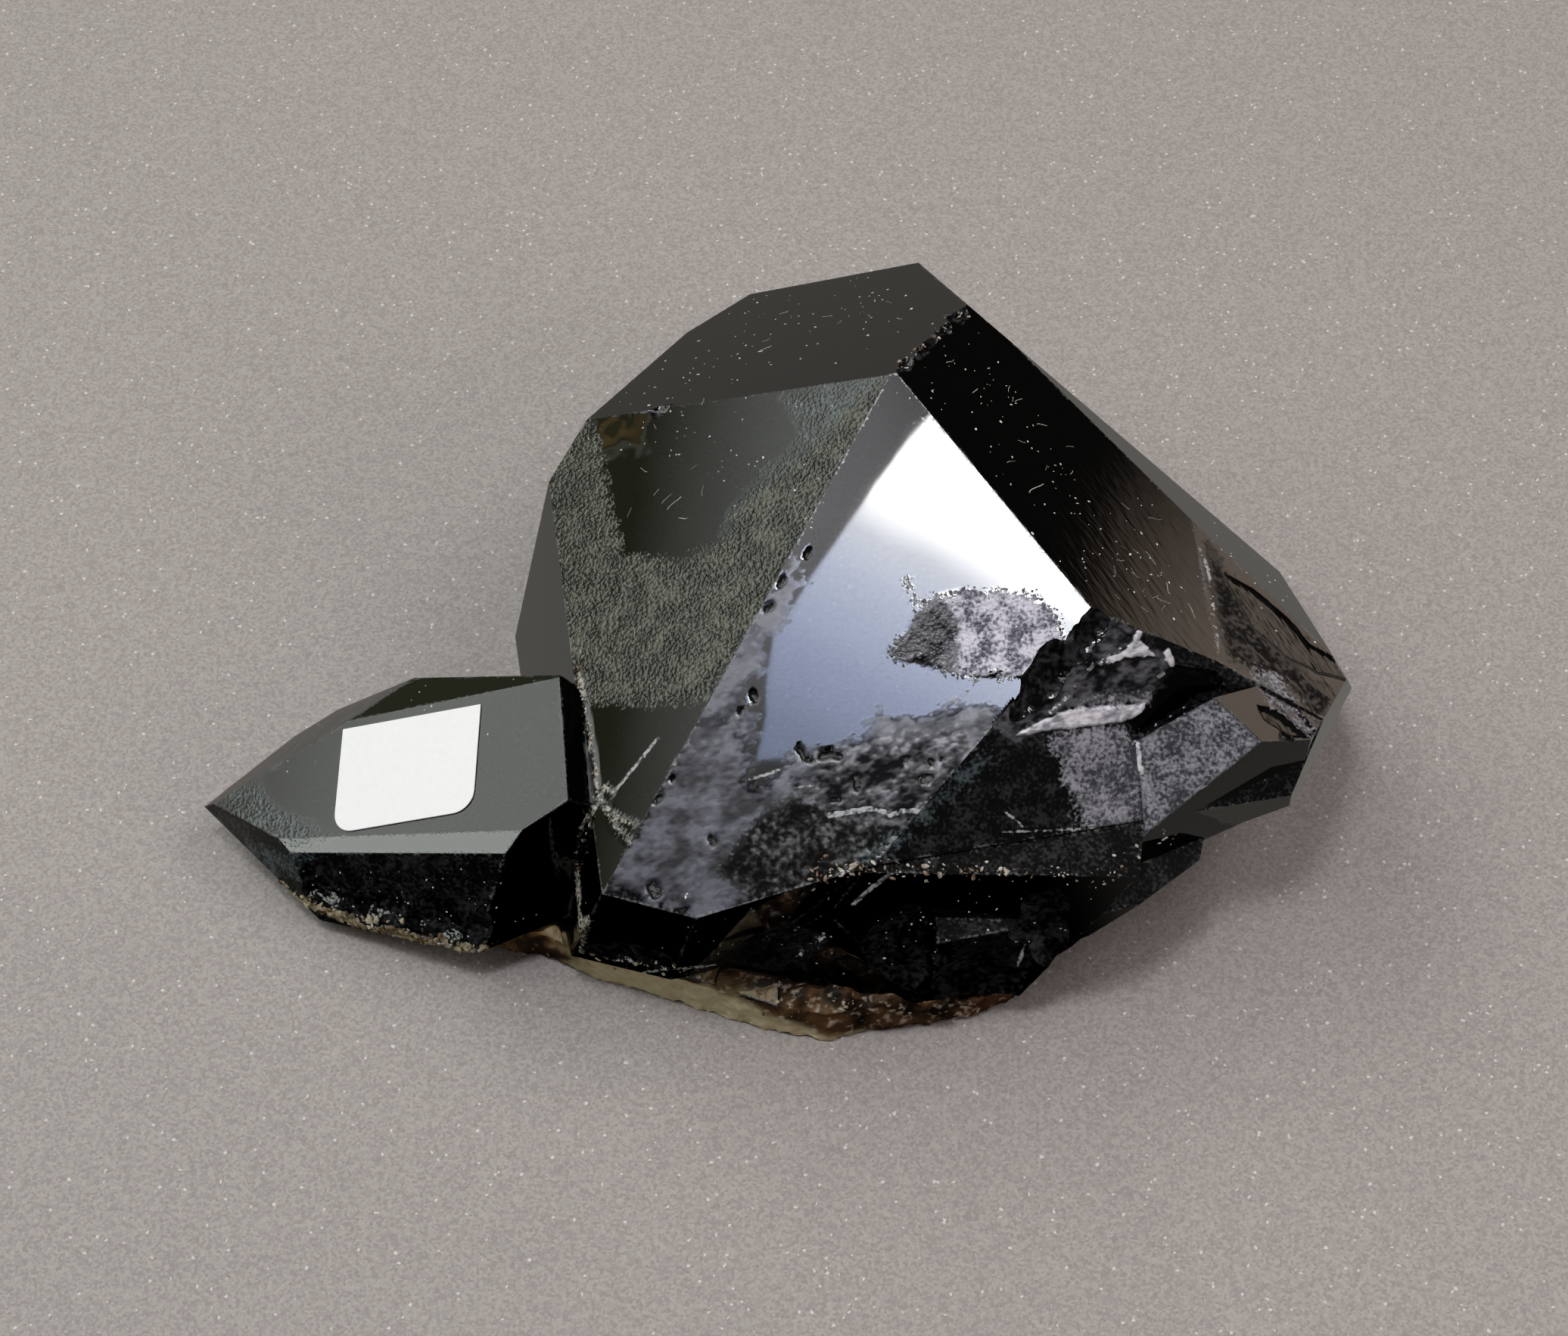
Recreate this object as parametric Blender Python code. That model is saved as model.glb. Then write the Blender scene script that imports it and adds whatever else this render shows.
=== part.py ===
"""Elestial morion quartz: a cluster of smoky black crystals on a crust of feldspar, with a blank paper label.

Every crystal is a block cut by flat faces. A face is given as a crystallographer would read it: the azimuth
of its normal, the tilt of that normal from straight up, and its distance from the layout point, in
millimetres. The layout point lies on the table below the cluster. The finished cluster is moved so that the
middle of its footprint is at the origin.
"""

import math
from collections import namedtuple

import bmesh
import bpy
from mathutils import Matrix, Vector

MM = 0.001
GAP = 0.3 * MM
BLOCK = 200 * MM
CLUSTER = "elestial_morion_quartz"

Face = namedtuple("Face", "azimuth tilt distance")
Flake = namedtuple("Flake", "lies_on at length width depth turn")
EdgeChip = namedtuple("EdgeChip", "first second at length width depth")
Lump = namedtuple("Lump", "at length width height turn")

MAIN_CRYSTAL = {
    "broad_front": Face(250.5, 24.0, 25.7),
    "left": Face(195.0, 31.0, 24.2),
    "top": Face(123.0, 35.0, 33.2),
    "right_band": Face(10.0, 27.0, 36.8),
    "lower_front": Face(291.5, 45.0, 30.5),
    "right_end_top": Face(9.0, 31.0, 38.07),
    "right_sliver": Face(32.5, 52.0, 40.5),
    "right_back": Face(40.0, 57.5, 40.5),
    "right_corner": Face(22.0, 66.0, 45.0),
    "right_end": Face(333.5, 92.0, 41.7),
    "end_undercut": Face(330.0, 125.0, 27.2),
    "front_right_undercut": Face(296.0, 125.0, 16.2),
    "front_left_wall": Face(252.5, 94.0, 24.9),
    "front_wall": Face(284.0, 100.0, 19.6),
    "front_undercut": Face(268.0, 165.0, 1.8),
    "left_wall": Face(189.0, 77.5, 20.8),
    "back_left": Face(149.0, 83.0, 27.6),
    "back_corner": Face(135.0, 85.0, 32.7),
    "back": Face(80.0, 86.5, 41.2),
    "base": Face(0.0, 180.0, 0.0),
}

SIDE_CRYSTAL = {
    "label_face": Face(197.5, 25.5, 25.5),
    "right_strip": Face(358.0, 38.0, 4.2),
    "front_right": Face(289.0, 80.5, 11.8),
    "front": Face(247.5, 70.0, 28.3),
    "tip_front": Face(229.0, 80.0, 37.1),
    "bevel": Face(240.0, 55.0, 29.9),
    "back_left": Face(134.0, 50.0, 25.0),
    "back_top": Face(157.5, 25.0, 24.0),
    "back": Face(74.0, 85.0, -7.0),
    "back_undercut": Face(83.0, 135.0, -4.2),
    "root": Face(0.0, 90.0, -9.0),
    "root_undercut": Face(0.0, 170.5, -7.8),
    "tip_undercut": Face(180.0, 165.0, 8.5),
}

STEPPED_CRYSTAL = {
    "speckled_top": Face(256.0, 46.5, 18.6),
    "front": Face(296.0, 90.0, 28.2),
    "right_end_top": Face(9.0, 31.0, 37.9),
    "right_sliver": Face(32.5, 52.0, 40.3),
    "right_corner": Face(22.0, 66.0, 44.8),
    "right_end": Face(333.5, 92.0, 41.6),
    "end_undercut": Face(330.0, 125.0, 27.0),
    "left": Face(194.0, 84.5, -21.5),
    "back_step": Face(117.0, 71.5, -15.2),
    "underside": Face(302.0, 152.0, 4.0),
}

FRONT_LEDGE = {
    "top": Face(311.5, 13.0, 23.7),
    "front": Face(275.5, 81.0, 26.1),
    "front_left": Face(258.0, 93.0, 21.8),
    "left": Face(195.0, 57.0, 10.5),
    "right": Face(358.0, 123.0, 15.1),
    "back": Face(90.0, 90.0, -14.0),
    "base": Face(0.0, 180.0, -3.0),
}

BROKEN_ROOT = {
    "top": Face(300.0, 20.0, 21.6),
    "front": Face(285.0, 95.0, 26.3),
    "right": Face(310.0, 118.0, 24.8),
    "end": Face(350.0, 100.0, 33.3),
    "left": Face(180.0, 90.0, -12.0),
    "back": Face(90.0, 90.0, -6.0),
    "base": Face(0.0, 180.0, -2.5),
}

FRONT_TOE = {
    "top": Face(249.0, 20.0, 12.6),
    "front": Face(249.0, 90.0, 24.5),
    "left": Face(180.0, 90.0, 9.5),
    "right": Face(0.0, 90.0, -0.5),
    "back": Face(90.0, 90.0, -18.0),
    "base": Face(0.0, 180.0, -4.3),
}

JOINED_CRYSTALS = {
    "side_crystal": SIDE_CRYSTAL,
    "stepped_crystal": STEPPED_CRYSTAL,
    "front_ledge": FRONT_LEDGE,
    "broken_root": BROKEN_ROOT,
    "front_toe": FRONT_TOE,
}

FLAKES = (
    Flake(MAIN_CRYSTAL["lower_front"], (20.5, -11.2, 25.2), 11.0, 5.0, 1.2, 35.0),
    Flake(MAIN_CRYSTAL["lower_front"], (26.0, -8.6, 26.2), 8.0, 4.5, 1.1, 60.0),
    Flake(MAIN_CRYSTAL["lower_front"], (29.2, -9.0, 24.4), 5.5, 4.0, 0.9, 80.0),
    Flake(FRONT_LEDGE["front"], (8.7, -24.0, 10.7), 10.0, 7.0, 0.6, 60.0),
    Flake(FRONT_LEDGE["front"], (21.5, -23.0, 13.0), 8.0, 5.0, 0.7, 100.0),
    Flake(FRONT_LEDGE["front"], (16.0, -24.5, 7.0), 9.0, 6.0, 0.7, 20.0),
    Flake(MAIN_CRYSTAL["front_left_wall"], (-12.5, -22.5, 8.5), 7.0, 4.0, 0.7, 20.0),
    Flake(MAIN_CRYSTAL["front_wall"], (-1.5, -22.5, 9.0), 9.0, 6.0, 0.7, 20.0),
    Flake(SIDE_CRYSTAL["front"], (-38.3, -14.2, 5.6), 6.0, 4.0, 0.5, 30.0),
    Flake(SIDE_CRYSTAL["front"], (-33.2, -16.4, 6.3), 6.0, 4.0, 0.6, 80.0),
    Flake(SIDE_CRYSTAL["front"], (-28.1, -18.2, 6.9), 7.0, 4.5, 0.6, 20.0),
    Flake(SIDE_CRYSTAL["front"], (-24.3, -20.0, 6.3), 6.0, 4.0, 0.6, 110.0),
    Flake(MAIN_CRYSTAL["back"], (2.0, 41.0, 9.0), 12.0, 8.0, 0.9, 20.0),
    Flake(MAIN_CRYSTAL["back_left"], (-16.0, 27.0, 6.0), 10.0, 7.0, 0.8, 60.0),
)

EDGE_CHIPS = (
    EdgeChip(MAIN_CRYSTAL["top"], MAIN_CRYSTAL["left"], (-10.4, 19.3, 25.3), 2.4, 1.8, 0.5),
    EdgeChip(MAIN_CRYSTAL["top"], MAIN_CRYSTAL["right_band"], (9.2, 15.4, 35.0), 3.0, 1.5, 0.5),
    EdgeChip(MAIN_CRYSTAL["top"], MAIN_CRYSTAL["right_band"], (11.0, 18.4, 34.0), 3.6, 1.8, 0.6),
    EdgeChip(MAIN_CRYSTAL["top"], MAIN_CRYSTAL["right_band"], (12.8, 21.2, 33.0), 3.0, 1.6, 0.5),
    EdgeChip(MAIN_CRYSTAL["top"], MAIN_CRYSTAL["right_band"], (14.5, 24.2, 31.9), 3.4, 2.0, 0.6),
    EdgeChip(MAIN_CRYSTAL["right_end_top"], STEPPED_CRYSTAL["front"], (39.8, -11.6, 21.3), 4.5, 2.0, 0.8),
    EdgeChip(BROKEN_ROOT["top"], BROKEN_ROOT["right"], (29.5, -17.6, 11.6), 4.0, 3.0, 1.0),
    EdgeChip(BROKEN_ROOT["front"], BROKEN_ROOT["right"], (25.4, -21.6, 6.4), 5.0, 4.0, 1.4),
)

CRUST_FRONT = (
    (-40.5, -12.6),
    (-37.0, -15.4),
    (-33.0, -16.3),
    (-29.5, -17.0),
    (-26.0, -17.8),
    (-22.5, -18.6),
    (-19.7, -19.1),
    (-15.8, -21.1),
    (-12.0, -22.3),
    (-7.1, -24.0),
    (-3.8, -25.2),
    (-0.3, -26.3),
    (3.6, -27.0),
    (6.4, -26.2),
    (10.9, -25.7),
    (15.6, -24.8),
    (18.3, -23.4),
    (20.0, -22.3),
)
CRUST_BACK = ((20.0, -14.0), (8.0, -12.5), (-4.0, -12.0), (-16.0, -12.0), (-28.0, -11.5), (-40.0, -10.5))
CRUST_HEIGHT = 4.0 * MM
CRUST_LEAN = 0.04

CRUST_LUMPS = (
    Lump((1.4, -24.7, 3.6), 4.6, 2.6, 1.5, 20.0),
    Lump((4.6, -25.0, 3.8), 4.0, 2.4, 1.9, -15.0),
    Lump((8.0, -25.2, 3.5), 5.0, 2.2, 1.7, 5.0),
    Lump((11.6, -25.0, 3.2), 4.2, 1.8, 1.3, -10.0),
    Lump((-20.6, -17.9, 3.4), 6.0, 2.4, 1.5, -12.0),
)

LABEL_CENTRE = (-30.7, -8.8, 13.0)
LABEL_WIDTH = 13.0 * MM
LABEL_HEIGHT = 9.5 * MM
LABEL_CORNER = 1.8 * MM
LABEL_THICKNESS = 0.2 * MM
LABEL_TURN = 21.0
CORNER_STEPS = 6


def normal_of(face):
    """The outward unit normal of a face."""
    azimuth = math.radians(face.azimuth)
    tilt = math.radians(face.tilt)
    across = math.sin(tilt)
    return Vector((across * math.cos(azimuth), across * math.sin(azimuth), math.cos(tilt)))


def crystal(faces, grow=0.0):
    """A block cut down to the space inside every face, each moved out by grow."""
    block = bmesh.new()
    bmesh.ops.create_cube(block, size=BLOCK)
    for face in faces.values():
        normal = normal_of(face)
        everything = block.verts[:] + block.edges[:] + block.faces[:]
        cut = bmesh.ops.bisect_plane(
            block,
            geom=everything,
            plane_co=normal * (face.distance * MM + grow),
            plane_no=normal,
            clear_outer=True,
        )
        rim = [item for item in cut["geom_cut"] if isinstance(item, bmesh.types.BMEdge)]
        if rim:
            bmesh.ops.holes_fill(block, edges=rim)
    bmesh.ops.recalc_face_normals(block, faces=block.faces)
    return block


def new_object(name, shape, collection):
    """Put a bmesh into the scene as an object of a collection."""
    mesh = bpy.data.meshes.new(name)
    shape.to_mesh(mesh)
    shape.free()
    thing = bpy.data.objects.new(name, mesh)
    collection.objects.link(thing)
    return thing


def hide_helper(helper):
    """Keep a cutter or a joined block out of the render and the part."""
    helper.hide_render = True
    helper.display_type = "WIRE"
    return helper


def boolean(thing, operation, helper):
    """Join a helper object to a thing, or cut it away."""
    step = thing.modifiers.new(helper.name, "BOOLEAN")
    step.operation = operation
    step.solver = "EXACT"
    step.object = helper


def ball(name, centre, radii, turned, collection):
    """A faceted ball with three radii, in the given turn, kept as a helper."""
    shape = bmesh.new()
    bmesh.ops.create_icosphere(shape, subdivisions=2, radius=1.0)
    shape.transform(Matrix.Translation(centre) @ turned @ Matrix.Diagonal((*radii, 1.0)))
    return hide_helper(new_object(name, shape, collection))


def scoop(name, place, outward, size, turn, cutters):
    """A flattened ball that takes a shell-shaped flake from a surface that faces outward."""
    length, width, depth = (value * MM for value in size)
    thickness = 2.5 * depth
    spread = 1 / math.sqrt(1 - (1 - depth / thickness) ** 2)
    radii = (length / 2 * spread, width / 2 * spread, thickness)
    turned = outward.to_track_quat("Z", "Y").to_matrix().to_4x4() @ Matrix.Rotation(math.radians(turn), 4, "Z")
    return ball(name, place + outward * (thickness - depth), radii, turned, cutters)


def on_face(face, point):
    """The point of a face nearest to a point in millimetres."""
    place = Vector(point) * MM
    normal = normal_of(face)
    return place + normal * (face.distance * MM - normal.dot(place))


def flake_cutters(cutters):
    """Scoops for the flake scars in the middle of faces."""
    made = []
    for number, flake in enumerate(FLAKES):
        size = (flake.length, flake.width, flake.depth)
        place = on_face(flake.lies_on, flake.at)
        outward = normal_of(flake.lies_on)
        made.append(scoop(f"flake_{number + 1}", place, outward, size, flake.turn, cutters))
    return made


def edge_chip_cutters(cutters):
    """Scoops for the chips along the edges where two faces meet."""
    made = []
    for number, chip in enumerate(EDGE_CHIPS):
        first = normal_of(chip.first)
        second = normal_of(chip.second)
        outward = (first + second).normalized()
        along = first.cross(second).normalized()
        frame = outward.to_track_quat("Z", "Y").to_matrix()
        local = frame.transposed() @ along
        turn = math.degrees(math.atan2(local.y, local.x))
        size = (chip.length, chip.width, chip.depth)
        place = Vector(chip.at) * MM
        made.append(scoop(f"edge_chip_{number + 1}", place, outward, size, turn, cutters))
    return made


def morion_quartz(parts, cutters):
    """All the crystals as one solid, with the broken places taken out."""
    quartz = new_object("morion_quartz", crystal(MAIN_CRYSTAL), parts)
    for name, faces in JOINED_CRYSTALS.items():
        boolean(quartz, "UNION", hide_helper(new_object(name, crystal(faces), cutters)))
    for cutter in flake_cutters(cutters) + edge_chip_cutters(cutters):
        boolean(quartz, "DIFFERENCE", cutter)
    return quartz


def crust_plate():
    """The low plate of the crust, its sides leaning in a little."""
    outline = [Vector((x, y, 0.0)) * MM for x, y in CRUST_FRONT + CRUST_BACK]
    middle = sum(outline, Vector()) / len(outline)
    plate = bmesh.new()
    bottom = plate.faces.new([plate.verts.new(point) for point in outline])
    raised = bmesh.ops.extrude_face_region(plate, geom=[bottom])
    for item in raised["geom"]:
        if isinstance(item, bmesh.types.BMVert):
            inward = Vector((0.0, middle.y - item.co.y, 0.0))
            item.co += inward * CRUST_LEAN + Vector((0.0, 0.0, CRUST_HEIGHT))
    bmesh.ops.recalc_face_normals(plate, faces=plate.faces)
    return plate


def feldspar_matrix(parts, cutters):
    """The crust under the front: a low lumpy plate, hollowed where the crystals sit in it."""
    crust = new_object("feldspar_matrix", crust_plate(), parts)
    for number, lump in enumerate(CRUST_LUMPS):
        radii = (lump.length / 2 * MM, lump.width / 2 * MM, lump.height * MM)
        turned = Matrix.Rotation(math.radians(lump.turn), 4, "Z")
        boolean(crust, "UNION", ball(f"crust_lump_{number + 1}", Vector(lump.at) * MM, radii, turned, cutters))
    rooms = {"main_crystal": MAIN_CRYSTAL, **JOINED_CRYSTALS}
    for name, faces in rooms.items():
        room = new_object(f"room_for_{name}", crystal(faces, GAP), cutters)
        boolean(crust, "DIFFERENCE", hide_helper(room))
    return crust


def label_outline():
    """Corner points of the label: square corners on its upper edge, round ones on its lower edge."""
    half_width = LABEL_WIDTH / 2
    half_height = LABEL_HEIGHT / 2
    points = [(half_width, half_height), (-half_width, half_height)]
    for side, start in ((-1, 180.0), (1, 270.0)):
        centre_x = side * (half_width - LABEL_CORNER)
        centre_y = LABEL_CORNER - half_height
        for step in range(CORNER_STEPS + 1):
            angle = math.radians(start + 90.0 * step / CORNER_STEPS)
            points.append((centre_x + LABEL_CORNER * math.cos(angle), centre_y + LABEL_CORNER * math.sin(angle)))
    return points


def paper_label(parts):
    """A blank sticker just above the label face of the side crystal."""
    face = SIDE_CRYSTAL["label_face"]
    outward = normal_of(face)
    azimuth = math.radians(face.azimuth)
    level = Vector((-math.sin(azimuth), math.cos(azimuth), 0.0))
    uphill = outward.cross(level)
    turn = math.radians(LABEL_TURN)
    across = uphill * math.cos(turn) + level * math.sin(turn)
    upward = outward.cross(across)
    outline = bpy.data.curves.new("paper_label", "CURVE")
    outline.dimensions = "2D"
    outline.fill_mode = "BOTH"
    outline.extrude = LABEL_THICKNESS / 2
    points = label_outline()
    line = outline.splines.new("POLY")
    line.points.add(len(points) - 1)
    for slot, (x, y) in zip(line.points, points):
        slot.co = (x, y, 0.0, 1.0)
    line.use_cyclic_u = True
    label = bpy.data.objects.new("paper_label", outline)
    parts.objects.link(label)
    place = on_face(face, LABEL_CENTRE) + outward * (GAP + LABEL_THICKNESS / 2)
    turned = Matrix((across, upward, outward)).transposed().to_4x4()
    label.matrix_world = Matrix.Translation(place) @ turned
    return label


def material(name, colour, roughness, transmission=0.0):
    """A Principled material."""
    made = bpy.data.materials.new(name)
    made.use_nodes = True
    shader = made.node_tree.nodes["Principled BSDF"]
    shader.inputs["Base Color"].default_value = (*colour, 1.0)
    shader.inputs["Roughness"].default_value = roughness
    shader.inputs["Metallic"].default_value = 0.0
    shader.inputs["Transmission Weight"].default_value = transmission
    return made


def clear_scene():
    """Remove whatever the scene holds."""
    for thing in list(bpy.data.objects):
        bpy.data.objects.remove(thing, do_unlink=True)


def centre_on_origin(things, helpers):
    """Move everything so that the middle of the footprint is at the origin and the lowest point at zero."""
    bpy.context.view_layer.update()
    graph = bpy.context.evaluated_depsgraph_get()
    points = []
    for thing in things:
        solid = thing.evaluated_get(graph)
        points += [solid.matrix_world @ vertex.co for vertex in solid.to_mesh().vertices]
        solid.to_mesh_clear()
    low = [min(point[axis] for point in points) for axis in range(3)]
    high = [max(point[axis] for point in points) for axis in range(3)]
    shift = Vector(((low[0] + high[0]) / 2, (low[1] + high[1]) / 2, low[2]))
    for thing in things + helpers:
        thing.location -= shift


def main():
    """Build the cluster."""
    clear_scene()
    parts = bpy.data.collections.new(CLUSTER)
    cutters = bpy.data.collections.new("cutters")
    for collection in (parts, cutters):
        bpy.context.scene.collection.children.link(collection)
    quartz = morion_quartz(parts, cutters)
    crust = feldspar_matrix(parts, cutters)
    label = paper_label(parts)
    quartz.data.materials.append(material("smoky_black_quartz", (0.012, 0.011, 0.01), 0.05, 1.0))
    crust.data.materials.append(material("tan_feldspar", (0.42, 0.33, 0.22), 0.55))
    label.data.materials.append(material("white_paper", (0.86, 0.87, 0.88), 0.6))
    centre_on_origin([quartz, crust, label], list(cutters.objects))


if __name__ == "__main__":
    main()
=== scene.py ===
"""Looks of the elestial morion quartz: glossy black crystals, a feldspar crust, a label and dust, on a table.

Sizes are in millimetres unless a name says otherwise, and turn to metres where a mesh is made. A mark on
the crystals is given where the photograph shows it, in the photograph's own pixels, together with the
crystal faces that it lies on. It is laid on those faces once, when the mesh is made, so it stays there from
every side.
"""

import logging
import math
import random
from dataclasses import dataclass, field
from enum import Enum

import bpy
import numpy as np
from mathutils import Matrix, Vector
from mathutils.bvhtree import BVHTree
from mathutils.kdtree import KDTree


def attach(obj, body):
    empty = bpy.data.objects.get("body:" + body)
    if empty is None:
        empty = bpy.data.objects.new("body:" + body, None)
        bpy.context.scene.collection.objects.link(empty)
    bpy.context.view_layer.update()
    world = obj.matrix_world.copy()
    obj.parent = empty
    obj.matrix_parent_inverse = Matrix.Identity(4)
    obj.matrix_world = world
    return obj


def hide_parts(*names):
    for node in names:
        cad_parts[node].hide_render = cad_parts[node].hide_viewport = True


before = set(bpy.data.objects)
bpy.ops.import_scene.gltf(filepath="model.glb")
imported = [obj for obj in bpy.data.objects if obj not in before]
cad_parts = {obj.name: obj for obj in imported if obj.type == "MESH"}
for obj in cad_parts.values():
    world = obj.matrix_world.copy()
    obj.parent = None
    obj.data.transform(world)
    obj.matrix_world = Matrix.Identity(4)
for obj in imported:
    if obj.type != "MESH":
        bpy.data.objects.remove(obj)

MM = 0.001
LAYOUT_X = 0.5553
LAYOUT_Y = -7.7947
LAYOUT_POINT = Vector((LAYOUT_X, LAYOUT_Y, 0.0)) * MM
BLOCK = 200 * MM
CUT_WELD = 1e-7
COPY_WELD = 1e-6
SRGB_KNEE = 0.04045
SRGB_SLOPE = 12.92
SRGB_LIFT = 0.055
SRGB_POWER = 2.4
SHORTEST_LINE = 1e-9

log = logging.getLogger("morion")

Material = bpy.types.Material
Mesh = bpy.types.Mesh
Node = bpy.types.Node
Piece = bpy.types.Object
Pixels = tuple[tuple[float, float], ...]
Socket = bpy.types.NodeSocket
Tree = bpy.types.NodeTree


def linear(hex_colour: str) -> tuple[float, float, float, float]:
    """Turn an sRGB colour to the linear one that Blender mixes.

    Args:
        hex_colour: six hex digits, red first.

    Returns:
        Red, green, blue and a full alpha.
    """
    result = []
    for place in (0, 2, 4):
        value = int(hex_colour[place:place + 2], 16) / 255
        if value <= SRGB_KNEE:
            result.append(value / SRGB_SLOPE)
        else:
            result.append(((value + SRGB_LIFT) / (1 + SRGB_LIFT)) ** SRGB_POWER)
    return (*result, 1.0)


def add_node(tree: Tree, kind: str, settings: dict | None = None, inputs: dict | None = None) -> Node:
    """Add a node with its settings and links.

    Args:
        tree: the node tree that gets the node.
        kind: the node's type name, without the leading "Shader Node".
        settings: values for the node's own properties.
        inputs: a value, or a socket to link from, for each input by its name or number.

    Returns:
        The new node.
    """
    node = tree.nodes.new(f"ShaderNode{kind}")
    for name, value in (settings or {}).items():
        setattr(node, name, value)
    for name, value in (inputs or {}).items():
        if isinstance(value, Socket):
            tree.links.new(value, node.inputs[name])
        else:
            node.inputs[name].default_value = value
    return node


def fresh_material(name: str) -> tuple[Material, Tree, Node]:
    """Start a material.

    Args:
        name: what the real material is.

    Returns:
        The material, its empty node tree and the tree's output node.
    """
    made = bpy.data.materials.new(name)
    made.use_nodes = True
    tree = made.node_tree
    tree.nodes.clear()
    return made, tree, add_node(tree, "OutputMaterial")


def deselect_everything() -> None:
    """Leave edit mode and deselect every object."""
    if bpy.context.mode != "OBJECT":
        bpy.ops.object.mode_set(mode="OBJECT")
    bpy.ops.object.select_all(action="DESELECT")


def make_active(piece: Piece) -> Piece:
    """Select one object alone and make it the active one."""
    deselect_everything()
    piece.select_set(True)
    bpy.context.view_layer.objects.active = piece
    return piece


def edit_everything() -> None:
    """Enter edit mode with the active object's whole mesh selected."""
    bpy.ops.object.mode_set(mode="EDIT")
    bpy.ops.mesh.select_all(action="SELECT")


def apply_place(piece: Piece) -> Piece:
    """Move an object's place, turn and size into its mesh."""
    make_active(piece)
    bpy.ops.object.transform_apply(location=True, rotation=True, scale=True)
    return piece


def join(pieces: list[Piece], name: str) -> Piece:
    """Join objects into one.

    Args:
        pieces: the objects, of which the first stays.
        name: the name of the result.

    Returns:
        The joined object.
    """
    deselect_everything()
    for piece in pieces:
        piece.select_set(True)
    bpy.context.view_layer.objects.active = pieces[0]
    bpy.ops.object.join()
    joined = bpy.context.view_layer.objects.active
    joined.name = name
    joined.data.name = name
    return joined


def read_values(items: bpy.types.bpy_prop_collection, name: str, kind: type, width: int = 1) -> np.ndarray:
    """Read one value of all vertices, edges, corners or polygons of a mesh.

    Args:
        items: the vertices, edges, corners or polygons.
        name: what the value is called.
        kind: the type of its numbers.
        width: how many numbers it has.

    Returns:
        The values, one row each where they have more than one number.
    """
    values = np.empty(len(items) * width, dtype=kind)
    items.foreach_get(name, values)
    return values.reshape(-1, width) if width > 1 else values


def coordinates(mesh: Mesh) -> np.ndarray:
    """The places of a mesh's vertices, one row each, in metres."""
    return read_values(mesh.vertices, "co", float, 3)


def set_coordinates(mesh: Mesh, places: np.ndarray) -> None:
    """Move a mesh's vertices to the given places."""
    mesh.vertices.foreach_set("co", places.ravel())
    mesh.update()


def edge_ends(mesh: Mesh) -> np.ndarray:
    """The two vertex numbers of each edge of a mesh."""
    return read_values(mesh.edges, "vertices", int, 2)


def corners(mesh: Mesh) -> tuple[np.ndarray, np.ndarray, np.ndarray]:
    """Read how a mesh's polygons are made up.

    Args:
        mesh: the mesh.

    Returns:
        The vertex of each polygon corner, the edge that leaves it, and each polygon's number of corners.
    """
    vertices = read_values(mesh.loops, "vertex_index", int)
    edges = read_values(mesh.loops, "edge_index", int)
    return vertices, edges, read_values(mesh.polygons, "loop_total", int)


def smooth_rise(value: np.ndarray) -> np.ndarray:
    """Ease a ramp from 0 to 1 at both its ends."""
    clipped = np.clip(value, 0.0, 1.0)
    return clipped * clipped * (3 - 2 * clipped)


@dataclass(frozen=True)
class Face:
    """A flat crystal face: azimuth and tilt of its normal in degrees, and distance from the layout point."""

    azimuth: float
    tilt: float
    distance: float

    @property
    def normal(self) -> Vector:
        """The outward unit normal."""
        azimuth = math.radians(self.azimuth)
        tilt = math.radians(self.tilt)
        across = math.sin(tilt)
        return Vector((across * math.cos(azimuth), across * math.sin(azimuth), math.cos(tilt)))

    @property
    def centre(self) -> Vector:
        """The point of the face's plane nearest to the layout point, in metres."""
        return LAYOUT_POINT + self.normal * self.distance * MM


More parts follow.
